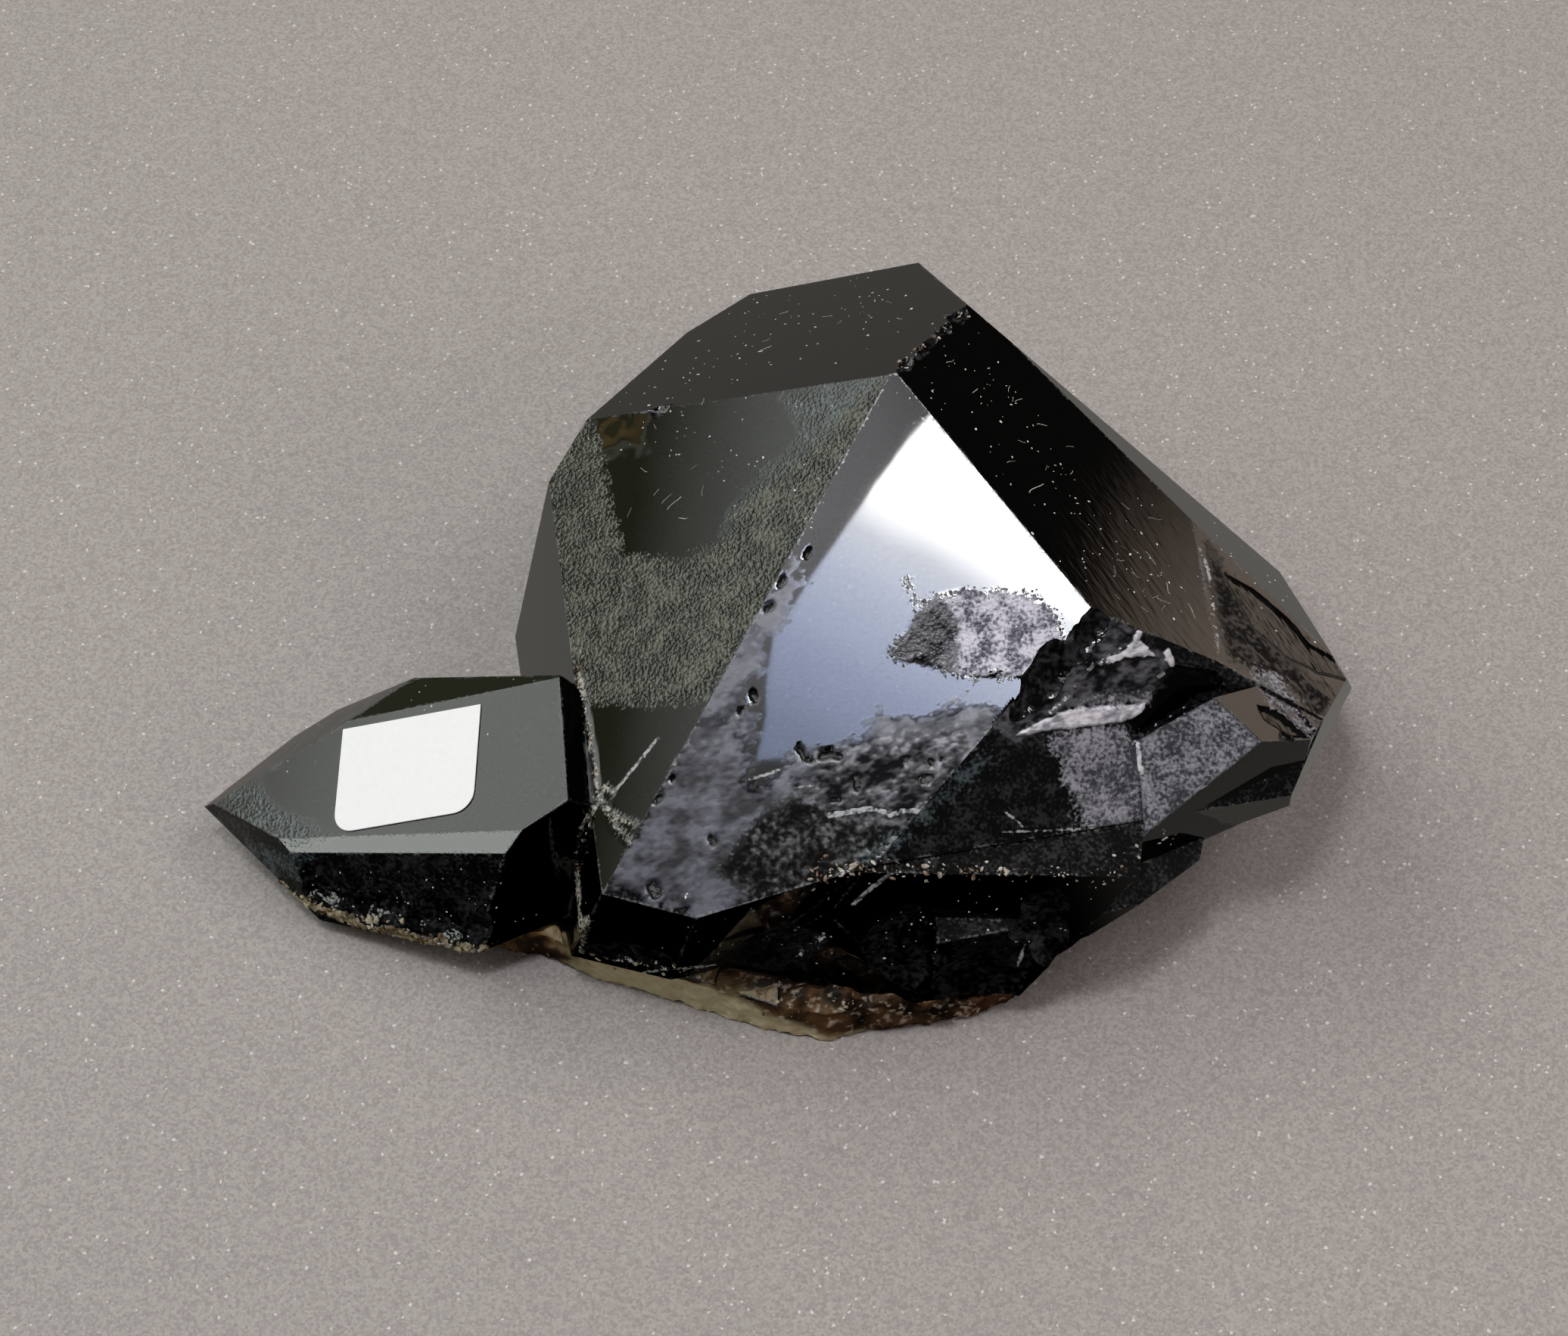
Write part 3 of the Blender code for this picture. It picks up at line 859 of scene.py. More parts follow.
@dataclass(frozen=True)
class SurfaceLayer:
    """One finish of the quartz as it is laid over the finishes below it.

    The ground is the finish itself, and the specks are the grains in it. Grain size, blotch size, relief, and
    the softness and raggedness of its border are in millimetres. Share is how much of the ground the specks
    take, and contrast how sharply they stand out. A run stretches the grains along one direction in plan.
    Lean is how far the tiny growth steps of the ground turn to the front, away from the bright ceiling.
    Noise middle is the mean of every noise. Rarest and commonest are the limits above it that a speck passes
    where the share is 0 and 1, and tint rise is how fast the colour fills in at the border.
    """

    finish: Finish
    ground: str
    speck: str
    grain: float
    share: float
    transmission: float
    roughness: float
    relief: float
    softness: float = 0.3
    raggedness: float = 0.6
    strength: float = 1.0
    blotch: float = 1.8
    contrast: float = 10.0
    run_turn: float = 0.0
    run_length: float = 1.0
    blotch_weight: float = 0.7
    lean: float = 0.0
    noise_middle: float = 0.5
    rarest: float = 0.2
    commonest: float = -0.2
    tint_rise: float = 5.0

    def pattern(self, tree: Tree, where: Socket, size: float) -> Socket:
        """Add a noise of one size, or find the one that a layer below already uses.

        Args:
            tree: the material's node tree.
            where: the place on the piece, in metres.
            size: the size of its grains in millimetres.

        Returns:
            The noise.
        """
        label = f"{size} mm, turned {self.run_turn}, drawn out {self.run_length}"
        for node in tree.nodes:
            if node.label == label:
                return node.outputs[0]
        if self.run_length != 1.0:
            turned = add_node(tree, "VectorRotate", {"rotation_type": "Z_AXIS"},
                              {"Vector": where, "Angle": -math.radians(self.run_turn)})
            drawn = add_node(tree, "VectorMath", {"operation": "MULTIPLY"},
                             {0: turned.outputs[0], 1: (1 / self.run_length, 1.0, 1.0)})
            where = drawn.outputs[0]
        noise = add_node(tree, "TexNoise", {"label": label},
                         {"Vector": where, "Scale": 1 / (size * MM), "Detail": 1.0})
        return noise.outputs[0]

    def lay(self, tree: Tree, where: Socket, below: dict[str, Socket]) -> dict[str, Socket]:
        """Add the nodes that lay this finish over what is below.

        Args:
            tree: the material's node tree.
            where: the place on the piece, in metres.
            below: the sockets of colour, transmission, roughness, height and lean so far.

        Returns:
            The same five sockets with this finish on top.
        """
        depth = add_node(tree, "Attribute", {"attribute_name": self.finish.value}).outputs["Fac"]
        grains = self.pattern(tree, where, self.grain)
        blotches = self.pattern(tree, where, self.blotch)
        mixed = add_node(tree, "Math", {"operation": "MULTIPLY_ADD"},
                         {0: blotches, 1: self.blotch_weight, 2: grains})
        ragged = add_node(tree, "Math", {"operation": "MULTIPLY_ADD"},
                          {0: mixed.outputs[0], 1: 2 * self.raggedness, 2: depth})
        middle = (1 + self.blotch_weight) * self.raggedness
        cover = add_node(tree, "MapRange", {"interpolation_type": "SMOOTHSTEP"},
                         {"Value": ragged.outputs[0], "From Min": middle - self.softness,
                          "From Max": middle + self.softness, "To Max": self.strength})
        above = self.rarest + (self.commonest - self.rarest) * self.share
        limit = self.noise_middle * (1 + self.blotch_weight) + above
        specks = add_node(tree, "MapRange", {"interpolation_type": "SMOOTHSTEP"},
                          {"Value": mixed.outputs[0], "From Min": limit - 1 / self.contrast,
                           "From Max": limit + 1 / self.contrast})
        colour = add_node(tree, "Mix", {"data_type": "RGBA"},
                          {0: specks.outputs[0], 6: linear(self.ground), 7: linear(self.speck)})
        tinted = add_node(tree, "Math", {"operation": "MULTIPLY", "use_clamp": True},
                          {0: cover.outputs[0], 1: self.tint_rise})
        covered = add_node(tree, "Mix", {"data_type": "RGBA"},
                           {0: tinted.outputs[0], 6: below["colour"], 7: colour.outputs[2]})
        clear = add_node(tree, "Mix", {"data_type": "FLOAT"},
                         {0: cover.outputs[0], 2: below["transmission"], 3: self.transmission})
        rough = add_node(tree, "Mix", {"data_type": "FLOAT"},
                         {0: cover.outputs[0], 2: below["roughness"], 3: self.roughness})
        steps = add_node(tree, "Math", {"operation": "MULTIPLY_ADD"},
                         {0: specks.outputs[0], 1: -self.lean, 2: self.lean})
        lean = add_node(tree, "Mix", {"data_type": "FLOAT"},
                        {0: cover.outputs[0], 2: below["lean"], 3: steps.outputs[0]})
        level = add_node(tree, "Math", {"operation": "SUBTRACT"}, {0: grains, 1: self.noise_middle})
        bumps = add_node(tree, "Math", {"operation": "MULTIPLY"}, {0: cover.outputs[0], 1: level.outputs[0]})
        height = add_node(tree, "Math", {"operation": "MULTIPLY_ADD"},
                          {0: bumps.outputs[0], 1: self.relief * 2, 2: below["height"]})
        return {
            "colour": covered.outputs[2],
            "transmission": clear.outputs[0],
            "roughness": rough.outputs[0],
            "height": height.outputs[0],
            "lean": lean.outputs[0],
        }


@dataclass(frozen=True)
class MorionQuartz:
    """Smoky quartz grown flat and glassy: the eye gets mirror faces over a near-black depth, brown if thin.

    Patches that acid etched are dull and grey, and frosted ones sparkle with pale grains.
    """

    name: str = "morion_quartz_grown"
    clear: str = "ffffff"
    absorbed: str = "5e4426"
    density: float = 2600.0
    refraction: float = 1.544
    polish: float = 0.02
    wave_size: float = 7.0
    wave_height: float = 0.006
    front: tuple[float, float, float] = (0.0, -1.0, 0.0)
    layers: tuple[SurfaceLayer, ...] = (
        SurfaceLayer(
            Finish.SMOKY, ground="33240f", speck="6b5234", grain=1.8, share=0.5, transmission=0.55,
            roughness=0.05, relief=0.0, softness=1.4, raggedness=1.2, strength=0.6,
        ),
        SurfaceLayer(
            Finish.STREAKED, ground="080605", speck="17120e", grain=0.5, share=0.4, transmission=0.85,
            roughness=0.06, relief=0.004, softness=1.5, raggedness=0.8, strength=0.9, contrast=4.0,
            run_turn=-50.0, run_length=14.0,
        ),
        SurfaceLayer(
            Finish.SPECKLED, ground="151617", speck="55575b", grain=0.3, share=0.3, transmission=0.7,
            roughness=0.2, relief=0.02, softness=0.4, raggedness=0.4, contrast=6.0,
        ),
        SurfaceLayer(
            Finish.MOTTLED, ground="0a0a0d", speck="5a5c69", grain=0.5, share=0.42, transmission=0.35,
            roughness=0.28, relief=0.006, softness=0.8, raggedness=1.2, strength=0.95, contrast=2.5,
            run_turn=20.0, run_length=1.6, blotch_weight=1.6, lean=0.05,
        ),
        SurfaceLayer(
            Finish.DULL, ground="08090a", speck="3e3f3f", grain=0.5, share=0.35, transmission=0.5,
            roughness=0.4, relief=0.02, softness=0.6, raggedness=1.0, strength=0.9, contrast=4.0,
            lean=0.4,
        ),
        SurfaceLayer(
            Finish.BROKEN, ground="0b0b0c", speck="5c5d62", grain=0.5, share=0.3, transmission=0.7,
            roughness=0.15, relief=0.04, softness=0.2, raggedness=0.2, contrast=5.0,
        ),
        SurfaceLayer(
            Finish.VEILED, ground="161c1c", speck="6d7b80", grain=0.3, share=0.4, transmission=0.5,
            roughness=0.16, relief=0.02, softness=0.8, raggedness=1.0, strength=0.8, contrast=4.0,
        ),
        SurfaceLayer(
            Finish.FROSTED, ground="0d0e09", speck="6e7062", grain=0.3, share=0.33, transmission=0.5,
            roughness=0.17, relief=0.04, raggedness=0.8, strength=0.95, contrast=6.0,
        ),
        SurfaceLayer(
            Finish.GRITTY, ground="46474d", speck="aeaeb7", grain=0.3, share=0.4, transmission=0.2,
            roughness=0.35, relief=0.04, softness=0.6, raggedness=1.0, contrast=4.0,
        ),
        SurfaceLayer(
            Finish.ETCHED, ground="dedaea", speck="454656", grain=0.3, share=0.38, transmission=0.1,
            roughness=0.35, relief=0.08, raggedness=0.9, contrast=4.0, blotch_weight=1.2,
        ),
        SurfaceLayer(
            Finish.FLECKED, ground="222226", speck="84848c", grain=0.5, share=0.4, transmission=0.5,
            roughness=0.28, relief=0.01, softness=0.9, raggedness=0.8, strength=0.95, contrast=3.5,
            run_turn=20.0, run_length=1.6, blotch_weight=1.0, lean=0.28,
        ),
        SurfaceLayer(
            Finish.CLEAVED, ground="8c8c96", speck="eceaf0", grain=0.5, share=0.6, transmission=0.05,
            roughness=0.3, relief=0.08, softness=0.1, raggedness=0.25, contrast=4.0, run_turn=20.0,
            run_length=1.6,
        ),
        SurfaceLayer(
            Finish.STRIATED, ground="030303", speck="141412", grain=0.5, share=0.3, transmission=0.7,
            roughness=0.2, relief=-0.05, softness=0.12, raggedness=0.2, contrast=6.0, run_turn=-50.0,
            run_length=14.0,
        ),
        SurfaceLayer(
            Finish.CRUSTED, ground="5a4a30", speck="8b7d60", grain=0.5, share=0.5, transmission=0.0,
            roughness=0.6, relief=0.2, softness=0.2, raggedness=0.4,
        ),
        # Light lines along every crystal edge: worn edges, and a painted highlight where a bevel would catch
        # the light.
        SurfaceLayer(
            Finish.WORN_AND_GLINT, ground="26282a", speck="7b7e80", grain=0.3, share=0.3, transmission=0.5,
            roughness=0.3, relief=0.0, softness=0.05, raggedness=0.3, strength=0.6,
        ),
        SurfaceLayer(
            Finish.SUTURE, ground="4e4c45", speck="b9b4a8", grain=0.3, share=0.4, transmission=0.1,
            roughness=0.5, relief=0.1, softness=0.1, raggedness=0.35,
        ),
        # Thin light lines: scratches, and painted glints along edges.
        SurfaceLayer(
            Finish.SCRATCH_AND_GLINT, ground="5d6163", speck="b5b8ba", grain=0.3, share=0.5, transmission=0.15,
            roughness=0.5, relief=0.04, softness=0.06, raggedness=0.12,
        ),
        SurfaceLayer(
            Finish.PIT, ground="010102", speck="050507", grain=0.3, share=0.3, transmission=0.6,
            roughness=0.4, relief=-0.05, softness=0.08, raggedness=0.1,
        ),
    )

    def make(self) -> Material:
        """Make the material.

        Returns:
            The quartz, with every finish and a smoky depth.
        """
        made, tree, output = fresh_material(self.name)
        where = add_node(tree, "TexCoord").outputs["Object"]
        waves = add_node(tree, "TexNoise", {},
                         {"Vector": where, "Scale": 1 / (self.wave_size * MM), "Detail": 1.0})
        height = add_node(tree, "Math", {"operation": "MULTIPLY"}, {0: waves.outputs[0], 1: self.wave_height})
        colour = add_node(tree, "RGB")
        colour.outputs[0].default_value = linear(self.clear)
        clearness = add_node(tree, "Value")
        clearness.outputs[0].default_value = 1.0
        polish = add_node(tree, "Value")
        polish.outputs[0].default_value = self.polish
        upright = add_node(tree, "Value")
        upright.outputs[0].default_value = 0.0
        finish = {
            "colour": colour.outputs[0],
            "transmission": clearness.outputs[0],
            "roughness": polish.outputs[0],
            "height": height.outputs[0],
            "lean": upright.outputs[0],
        }
        for layer in self.layers:
            finish = layer.lay(tree, where, finish)
        outward = add_node(tree, "NewGeometry").outputs["Normal"]
        leaning = add_node(tree, "VectorMath", {"operation": "MULTIPLY_ADD"},
                           {0: finish["lean"], 1: self.front, 2: outward})
        turned = add_node(tree, "VectorMath", {"operation": "NORMALIZE"}, {0: leaning.outputs[0]})
        bump = add_node(tree, "Bump", {}, {"Strength": 1.0, "Distance": MM, "Height": finish["height"],
                                          "Normal": turned.outputs[0]})
        shader = add_node(tree, "BsdfPrincipled", {}, {
            "Base Color": finish["colour"],
            "Roughness": finish["roughness"],
            "Transmission Weight": finish["transmission"],
            "IOR": self.refraction,
            "Normal": bump.outputs[0],
        })
        depth = add_node(tree, "VolumeAbsorption", {},
                         {"Color": linear(self.absorbed), "Density": self.density})
        tree.links.new(shader.outputs[0], output.inputs["Surface"])
        tree.links.new(depth.outputs[0], output.inputs["Volume"])
        return made


@dataclass
class QuartzCluster:
    """The crystals grown together: cut flat as in the CAD model, chipped finely, and given their finishes.

    A flake scar is cut by a ball with rings around the strike, a point of it, and with lobes. A lobe wave is
    its number of lobes, how many times its phase is turned, and its weight.
    """

    name: str = "morion_quartz_grown_crystals"
    fine_grain: float = 0.5
    coarse_grain: float = 1.5
    mark_grain: float = 0.33
    mark_margin: float = 0.15
    step_width: float = 0.3
    worn_and_glint_width: float = 0.12
    most_splits: int = 16
    scoop_detail: int = 4
    scoop_roundness: float = 2.5
    strike: tuple[float, float, float] = (0.9, 0.0, -0.5)
    ring_pace: float = 16.0
    ring_start: float = 0.2
    ripple: float = 0.03
    lobes: float = 0.12
    lobe_waves: tuple[tuple[int, int, float], ...] = ((2, 1, 1.0), (3, 2, 0.6), (5, 3, 0.4))
    smooth_angle: float = 30.0
    match_angle: float = 0.9995
    match_gap: float = 0.004
    marks: tuple[AnyMark, ...] = MARKS
    face_of: np.ndarray = field(default_factory=lambda: np.empty(0, dtype=int))
    crystal_edges: np.ndarray = field(default_factory=lambda: np.empty(0, dtype=bool))

    def block(self, crystal: str) -> Piece:
        """Cut one crystal out of a block.

        Args:
            crystal: the crystal's name.

        Returns:
            The crystal.
        """
        deselect_everything()
        bpy.ops.mesh.primitive_cube_add(size=BLOCK)
        made = bpy.context.object
        made.name = crystal
        bpy.ops.object.mode_set(mode="EDIT")
        for face in CRYSTALS[crystal].values():
            bpy.ops.mesh.select_all(action="SELECT")
            bpy.ops.mesh.bisect(
                plane_co=face.centre,
                plane_no=face.normal,
                use_fill=True,
                clear_outer=True,
                threshold=CUT_WELD,
            )
        bpy.ops.object.mode_set(mode="OBJECT")
        return made

    def combine(self, whole: Piece, operation: str, helper: Piece) -> None:
        """Join a helper to the whole or cut it away, and remove the helper.

        Args:
            whole: the quartz.
            operation: UNION or DIFFERENCE.
            helper: the crystal or the cutter.
        """
        make_active(whole)
        step = whole.modifiers.new(helper.name, "BOOLEAN")
        step.operation = operation
        step.solver = "EXACT"
        step.object = helper
        bpy.ops.object.modifier_apply(modifier=step.name)
        bpy.data.objects.remove(helper, do_unlink=True)

    def scoop(self, place: Vector, outward: Vector, size: tuple[float, float, float], turn: float) -> Piece:
        """Make a cutter that leaves a rippled, shell-shaped hollow.

        Args:
            place: the middle of the hollow on the surface, in metres.
            outward: the surface's normal there.
            size: the hollow's length, width and depth.
            turn: how far the length is turned in the surface, in degrees.

        Returns:
            The cutter.
        """
        length, width, depth = (value * MM for value in size)
        thickness = self.scoop_roundness * depth
        spread = 1 / math.sqrt(1 - (1 - depth / thickness) ** 2)
        deselect_everything()
        bpy.ops.mesh.primitive_ico_sphere_add(subdivisions=self.scoop_detail, radius=1.0)
        cutter = bpy.context.object
        places = coordinates(cutter.data)
        from_strike = np.linalg.norm(places - np.array(self.strike), axis=1)
        swell = np.clip(from_strike, self.ring_start, 1.0)
        rings = 1 + self.ripple * np.sin(from_strike * self.ring_pace) * swell
        around = np.arctan2(places[:, 1], places[:, 0])
        phase = place.x / MM + turn
        uneven = sum(
            weight * np.sin(count * around + turns * phase) for count, turns, weight in self.lobe_waves
        )
        reach = rings + self.lobes * uneven * np.abs(places[:, :2]).sum(axis=1)
        set_coordinates(cutter.data, places * reach[:, None])
        radii = (length / 2 * spread, width / 2 * spread, thickness)
        upright = outward.to_track_quat("Z", "Y").to_matrix().to_4x4()
        turned = upright @ Matrix.Rotation(math.radians(turn), 4, "Z")
        centre = place + outward * (thickness - depth)
        cutter.matrix_world = Matrix.Translation(centre) @ turned @ Matrix.Diagonal((*radii, 1.0))
        return apply_place(cutter)

    def flake_cutters(self) -> list[Piece]:
        """Make the cutters for the flake scars.

        Returns:
            The cutters, seen flakes first.
        """
        cutters = []
        for flake in FLAKES + HIDDEN_FLAKES:
            size = (flake.length, flake.width, flake.depth)
            cutters.append(self.scoop(flake.place(), FACES[flake.face].normal, size, flake.turn))
        return cutters

    def chip_cutters(self) -> list[Piece]:
        """Make the cutters for the chips along edges.

        Returns:
            The cutters.
        """
        cutters = []
        for chip in EDGE_CHIPS:
            first = FACES[chip.first]
            second = FACES[chip.second]
            outward = (first.normal + second.normal).normalized()
            along = first.normal.cross(second.normal).normalized()
            local = outward.to_track_quat("Z", "Y").to_matrix().transposed() @ along
            turn = math.degrees(math.atan2(local.y, local.x))
            place = (PHOTO.on_face(chip.pixel, first) + PHOTO.on_face(chip.pixel, second)) / 2
            cutters.append(self.scoop(place, outward, (chip.length, chip.width, chip.depth), turn))
        return cutters

    def match_faces(self, mesh: Mesh) -> np.ndarray:
        """Find which crystal face each polygon lies on.

        Args:
            mesh: the quartz mesh.

        Returns:
            The number of the face in FACE_NAMES for each polygon, or -1 on a broken place.
        """
        normals = read_values(mesh.polygons, "normal", float, 3)
        centres = read_values(mesh.polygons, "center", float, 3)
        found = np.full(len(mesh.polygons), -1)
        for number, name in enumerate(FACE_NAMES):
            face = FACES[name]
            normal = np.array(face.normal)
            gap = np.abs((centres - np.array(face.centre)) @ normal)
            found[(gap < self.match_gap * MM) & (normals @ normal > self.match_angle)] = number
        return found

    def split_long_edges(self, mesh: Mesh, grain: np.ndarray) -> int:
        """Halve every edge that is longer than the grain of a polygon beside it.

        Args:
            mesh: the quartz mesh, on the active object.
            grain: the longest edge wanted on each polygon, in metres.

        Returns:
            How many edges were halved.
        """
        places = coordinates(mesh)
        ends = edge_ends(mesh)
        lengths = np.linalg.norm(places[ends[:, 0]] - places[ends[:, 1]], axis=1)
        _, corner_edge, sides = corners(mesh)
        longest = np.full(len(mesh.edges), np.inf)
        np.minimum.at(longest, corner_edge, np.repeat(grain, sides))
        chosen = lengths > longest
        if not chosen.any():
            return 0
        touched = np.zeros(len(mesh.vertices), dtype=bool)
        touched[ends[chosen].ravel()] = True
        mesh.polygons.foreach_set("select", np.zeros(len(mesh.polygons), dtype=bool))
        mesh.vertices.foreach_set("select", touched)
        mesh.edges.foreach_set("select", chosen)
        bpy.context.tool_settings.mesh_select_mode = (False, True, False)
        bpy.ops.object.mode_set(mode="EDIT")
        bpy.ops.mesh.subdivide(number_cuts=1)
        bpy.ops.mesh.select_all(action="SELECT")
        bpy.ops.mesh.quads_convert_to_tris(quad_method="SHORTEST_DIAGONAL", ngon_method="BEAUTY")
        bpy.ops.object.mode_set(mode="OBJECT")
        return int(chosen.sum())

    def refine(self, quartz: Piece) -> None:
        """Split the faces into triangles fine enough to carry the marks.

        Args:
            quartz: the quartz.
        """
        mesh = make_active(quartz).data
        edit_everything()
        bpy.ops.mesh.quads_convert_to_tris(quad_method="BEAUTY", ngon_method="BEAUTY")
        bpy.ops.object.mode_set(mode="OBJECT")
        seen = {name for mark in self.marks for name in mark.faces}
        fine = np.array([name in seen for name in FACE_NAMES] + [True])
        for _ in range(self.most_splits):
            face_of = self.match_faces(mesh)
            grain = np.where(fine[face_of], self.fine_grain, self.coarse_grain)
            grain[self.near_marks(mesh, face_of)] = self.mark_grain
            if not self.split_long_edges(mesh, grain * MM):
                break
        self.face_of = self.match_faces(mesh)

    def near_marks(self, mesh: Mesh, face_of: np.ndarray) -> np.ndarray:
        """Find the polygons that the border of a raised patch or a stroke crosses.

        Args:
            mesh: the quartz mesh.
            face_of: the crystal face of each polygon.

        Returns:
            True for each such polygon.
        """
        pixels = PHOTO.pixels(read_values(mesh.polygons, "center", float, 3))
        margin = self.mark_margin + np.sqrt(read_values(mesh.polygons, "area", float)) / MM
        near = np.zeros(len(mesh.polygons), dtype=bool)
        for mark in self.marks:
            if isinstance(mark, Coat) or (isinstance(mark, Patch) and not mark.raised):
                continue
            here = np.flatnonzero(np.isin(face_of, mark.face_numbers()))
            near[here] |= np.abs(mark.depth(pixels[here])) < margin[here]
        return near

    def measure_marks(self, mesh: Mesh) -> None:
        """Write each finish's depth to the mesh, and lift or sink the marks that stand off their face.

        Args:
            mesh: the refined quartz mesh.
        """
        corner_vertex, _, sides = corners(mesh)
        corner_face = np.repeat(self.face_of, sides)
        places = coordinates(mesh)
        pixels = PHOTO.pixels(places[corner_vertex])
        depths = {finish: np.full(len(mesh.loops), -FULL_DEPTH) for finish in Finish}
        moves = np.zeros_like(places)
        for mark in self.marks:
            here = np.isin(corner_face, mark.face_numbers())
            deep = np.clip(mark.depth(pixels[here]), -FULL_DEPTH, FULL_DEPTH)
            if mark.finish is None:
                for values in depths.values():
                    values[here] = np.minimum(values[here], -deep)
            else:
                depths[mark.finish][here] = np.maximum(depths[mark.finish][here], deep)
            if mark.raised:
                self.lift(moves, corner_vertex[here], corner_face[here], deep, mark.raised)
        depths[Finish.BROKEN][corner_face < 0] = FULL_DEPTH
        # Every edge between two crystal faces gets a lighter line: partly wear, partly a painted edge
        # highlight.
        depths[Finish.WORN_AND_GLINT][:] = self.worn_and_glint_width / 2 - self.edge_gaps(mesh, corner_face)[corner_vertex]
        for finish, values in depths.items():
            attribute = mesh.attributes.new(finish.value, "FLOAT", "CORNER")
            attribute.data.foreach_set("value", values.astype(np.float32))
        set_coordinates(mesh, places + moves * MM)

    def lift(
        self,
        moves: np.ndarray,
        vertices: np.ndarray,
        faces: np.ndarray,
        deep: np.ndarray,
        raised: float,
    ) -> None:
        """Note how far a mark moves its vertices along their face's normal.

        Args:
            moves: the moves so far, in millimetres, one row for each vertex, which this changes.
            vertices: the vertex of each corner in question.
            faces: the crystal face of each of these corners.
            deep: how deep inside the mark each corner is.
            raised: how far the mark stands off the face.
        """
        share = smooth_rise(deep / self.step_width + 0.5)
        for number in np.unique(faces[share > 0]):
            on_face = (faces == number) & (share > 0)
            normal = np.array(FACES[FACE_NAMES[number]].normal)
            moves[vertices[on_face]] = share[on_face, None] * raised * normal

    def edge_gaps(self, mesh: Mesh, corner_face: np.ndarray) -> np.ndarray:
        """Measure how far each vertex is from the nearest edge between two crystal faces.

        Args:
            mesh: the refined quartz mesh.
            corner_face: the crystal face of each polygon corner.

        Returns:
            The distances in millimetres, at most FULL_DEPTH.
        """
        _, corner_edge, _ = corners(mesh)
        lowest = np.full(len(mesh.edges), len(FACE_NAMES))
        highest = np.full(len(mesh.edges), -1)
        np.minimum.at(lowest, corner_edge, corner_face)
        np.maximum.at(highest, corner_edge, corner_face)
        self.crystal_edges = lowest != highest
        places = coordinates(mesh)
        ends = edge_ends(mesh)[self.crystal_edges & (lowest >= 0)]
        samples = np.concatenate((places[ends[:, 0]], places[ends].mean(axis=1), places[ends[:, 1]]))
        tree = KDTree(len(samples))
        for number, place in enumerate(samples):
            tree.insert(place, number)
        tree.balance()
        gaps = np.array([tree.find(place)[2] for place in places]) / MM
        return np.minimum(gaps, FULL_DEPTH)

    def shade(self, quartz: Piece) -> None:
        """Smooth the broken places, and keep the crystal faces flat with crisp edges.

        Args:
            quartz: the refined quartz.
        """
        make_active(quartz)
        bpy.ops.object.shade_smooth_by_angle(angle=math.radians(self.smooth_angle))
        mesh = quartz.data
        sharp = read_values(mesh.edges, "use_edge_sharp", bool)
        mesh.edges.foreach_set("use_edge_sharp", sharp | self.crystal_edges)
        mesh.update()

    def build(self) -> Piece:
        """Build the quartz.

        Returns:
            The finished piece.
        """
        quartz = self.block("main")
        for crystal in list(CRYSTALS)[1:]:
            self.combine(quartz, "UNION", self.block(crystal))
        for cutter in self.flake_cutters() + self.chip_cutters():
            self.combine(quartz, "DIFFERENCE", cutter)
        quartz.name = self.name
        quartz.data.name = self.name
        self.refine(quartz)
        self.measure_marks(quartz.data)
        self.shade(quartz)
        quartz.data.materials.clear()
        quartz.data.materials.append(MorionQuartz().make())
        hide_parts("morion_quartz")
        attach(quartz, "root")
        log.info("%s: %d triangles", quartz.name, len(quartz.data.polygons))
        return quartz


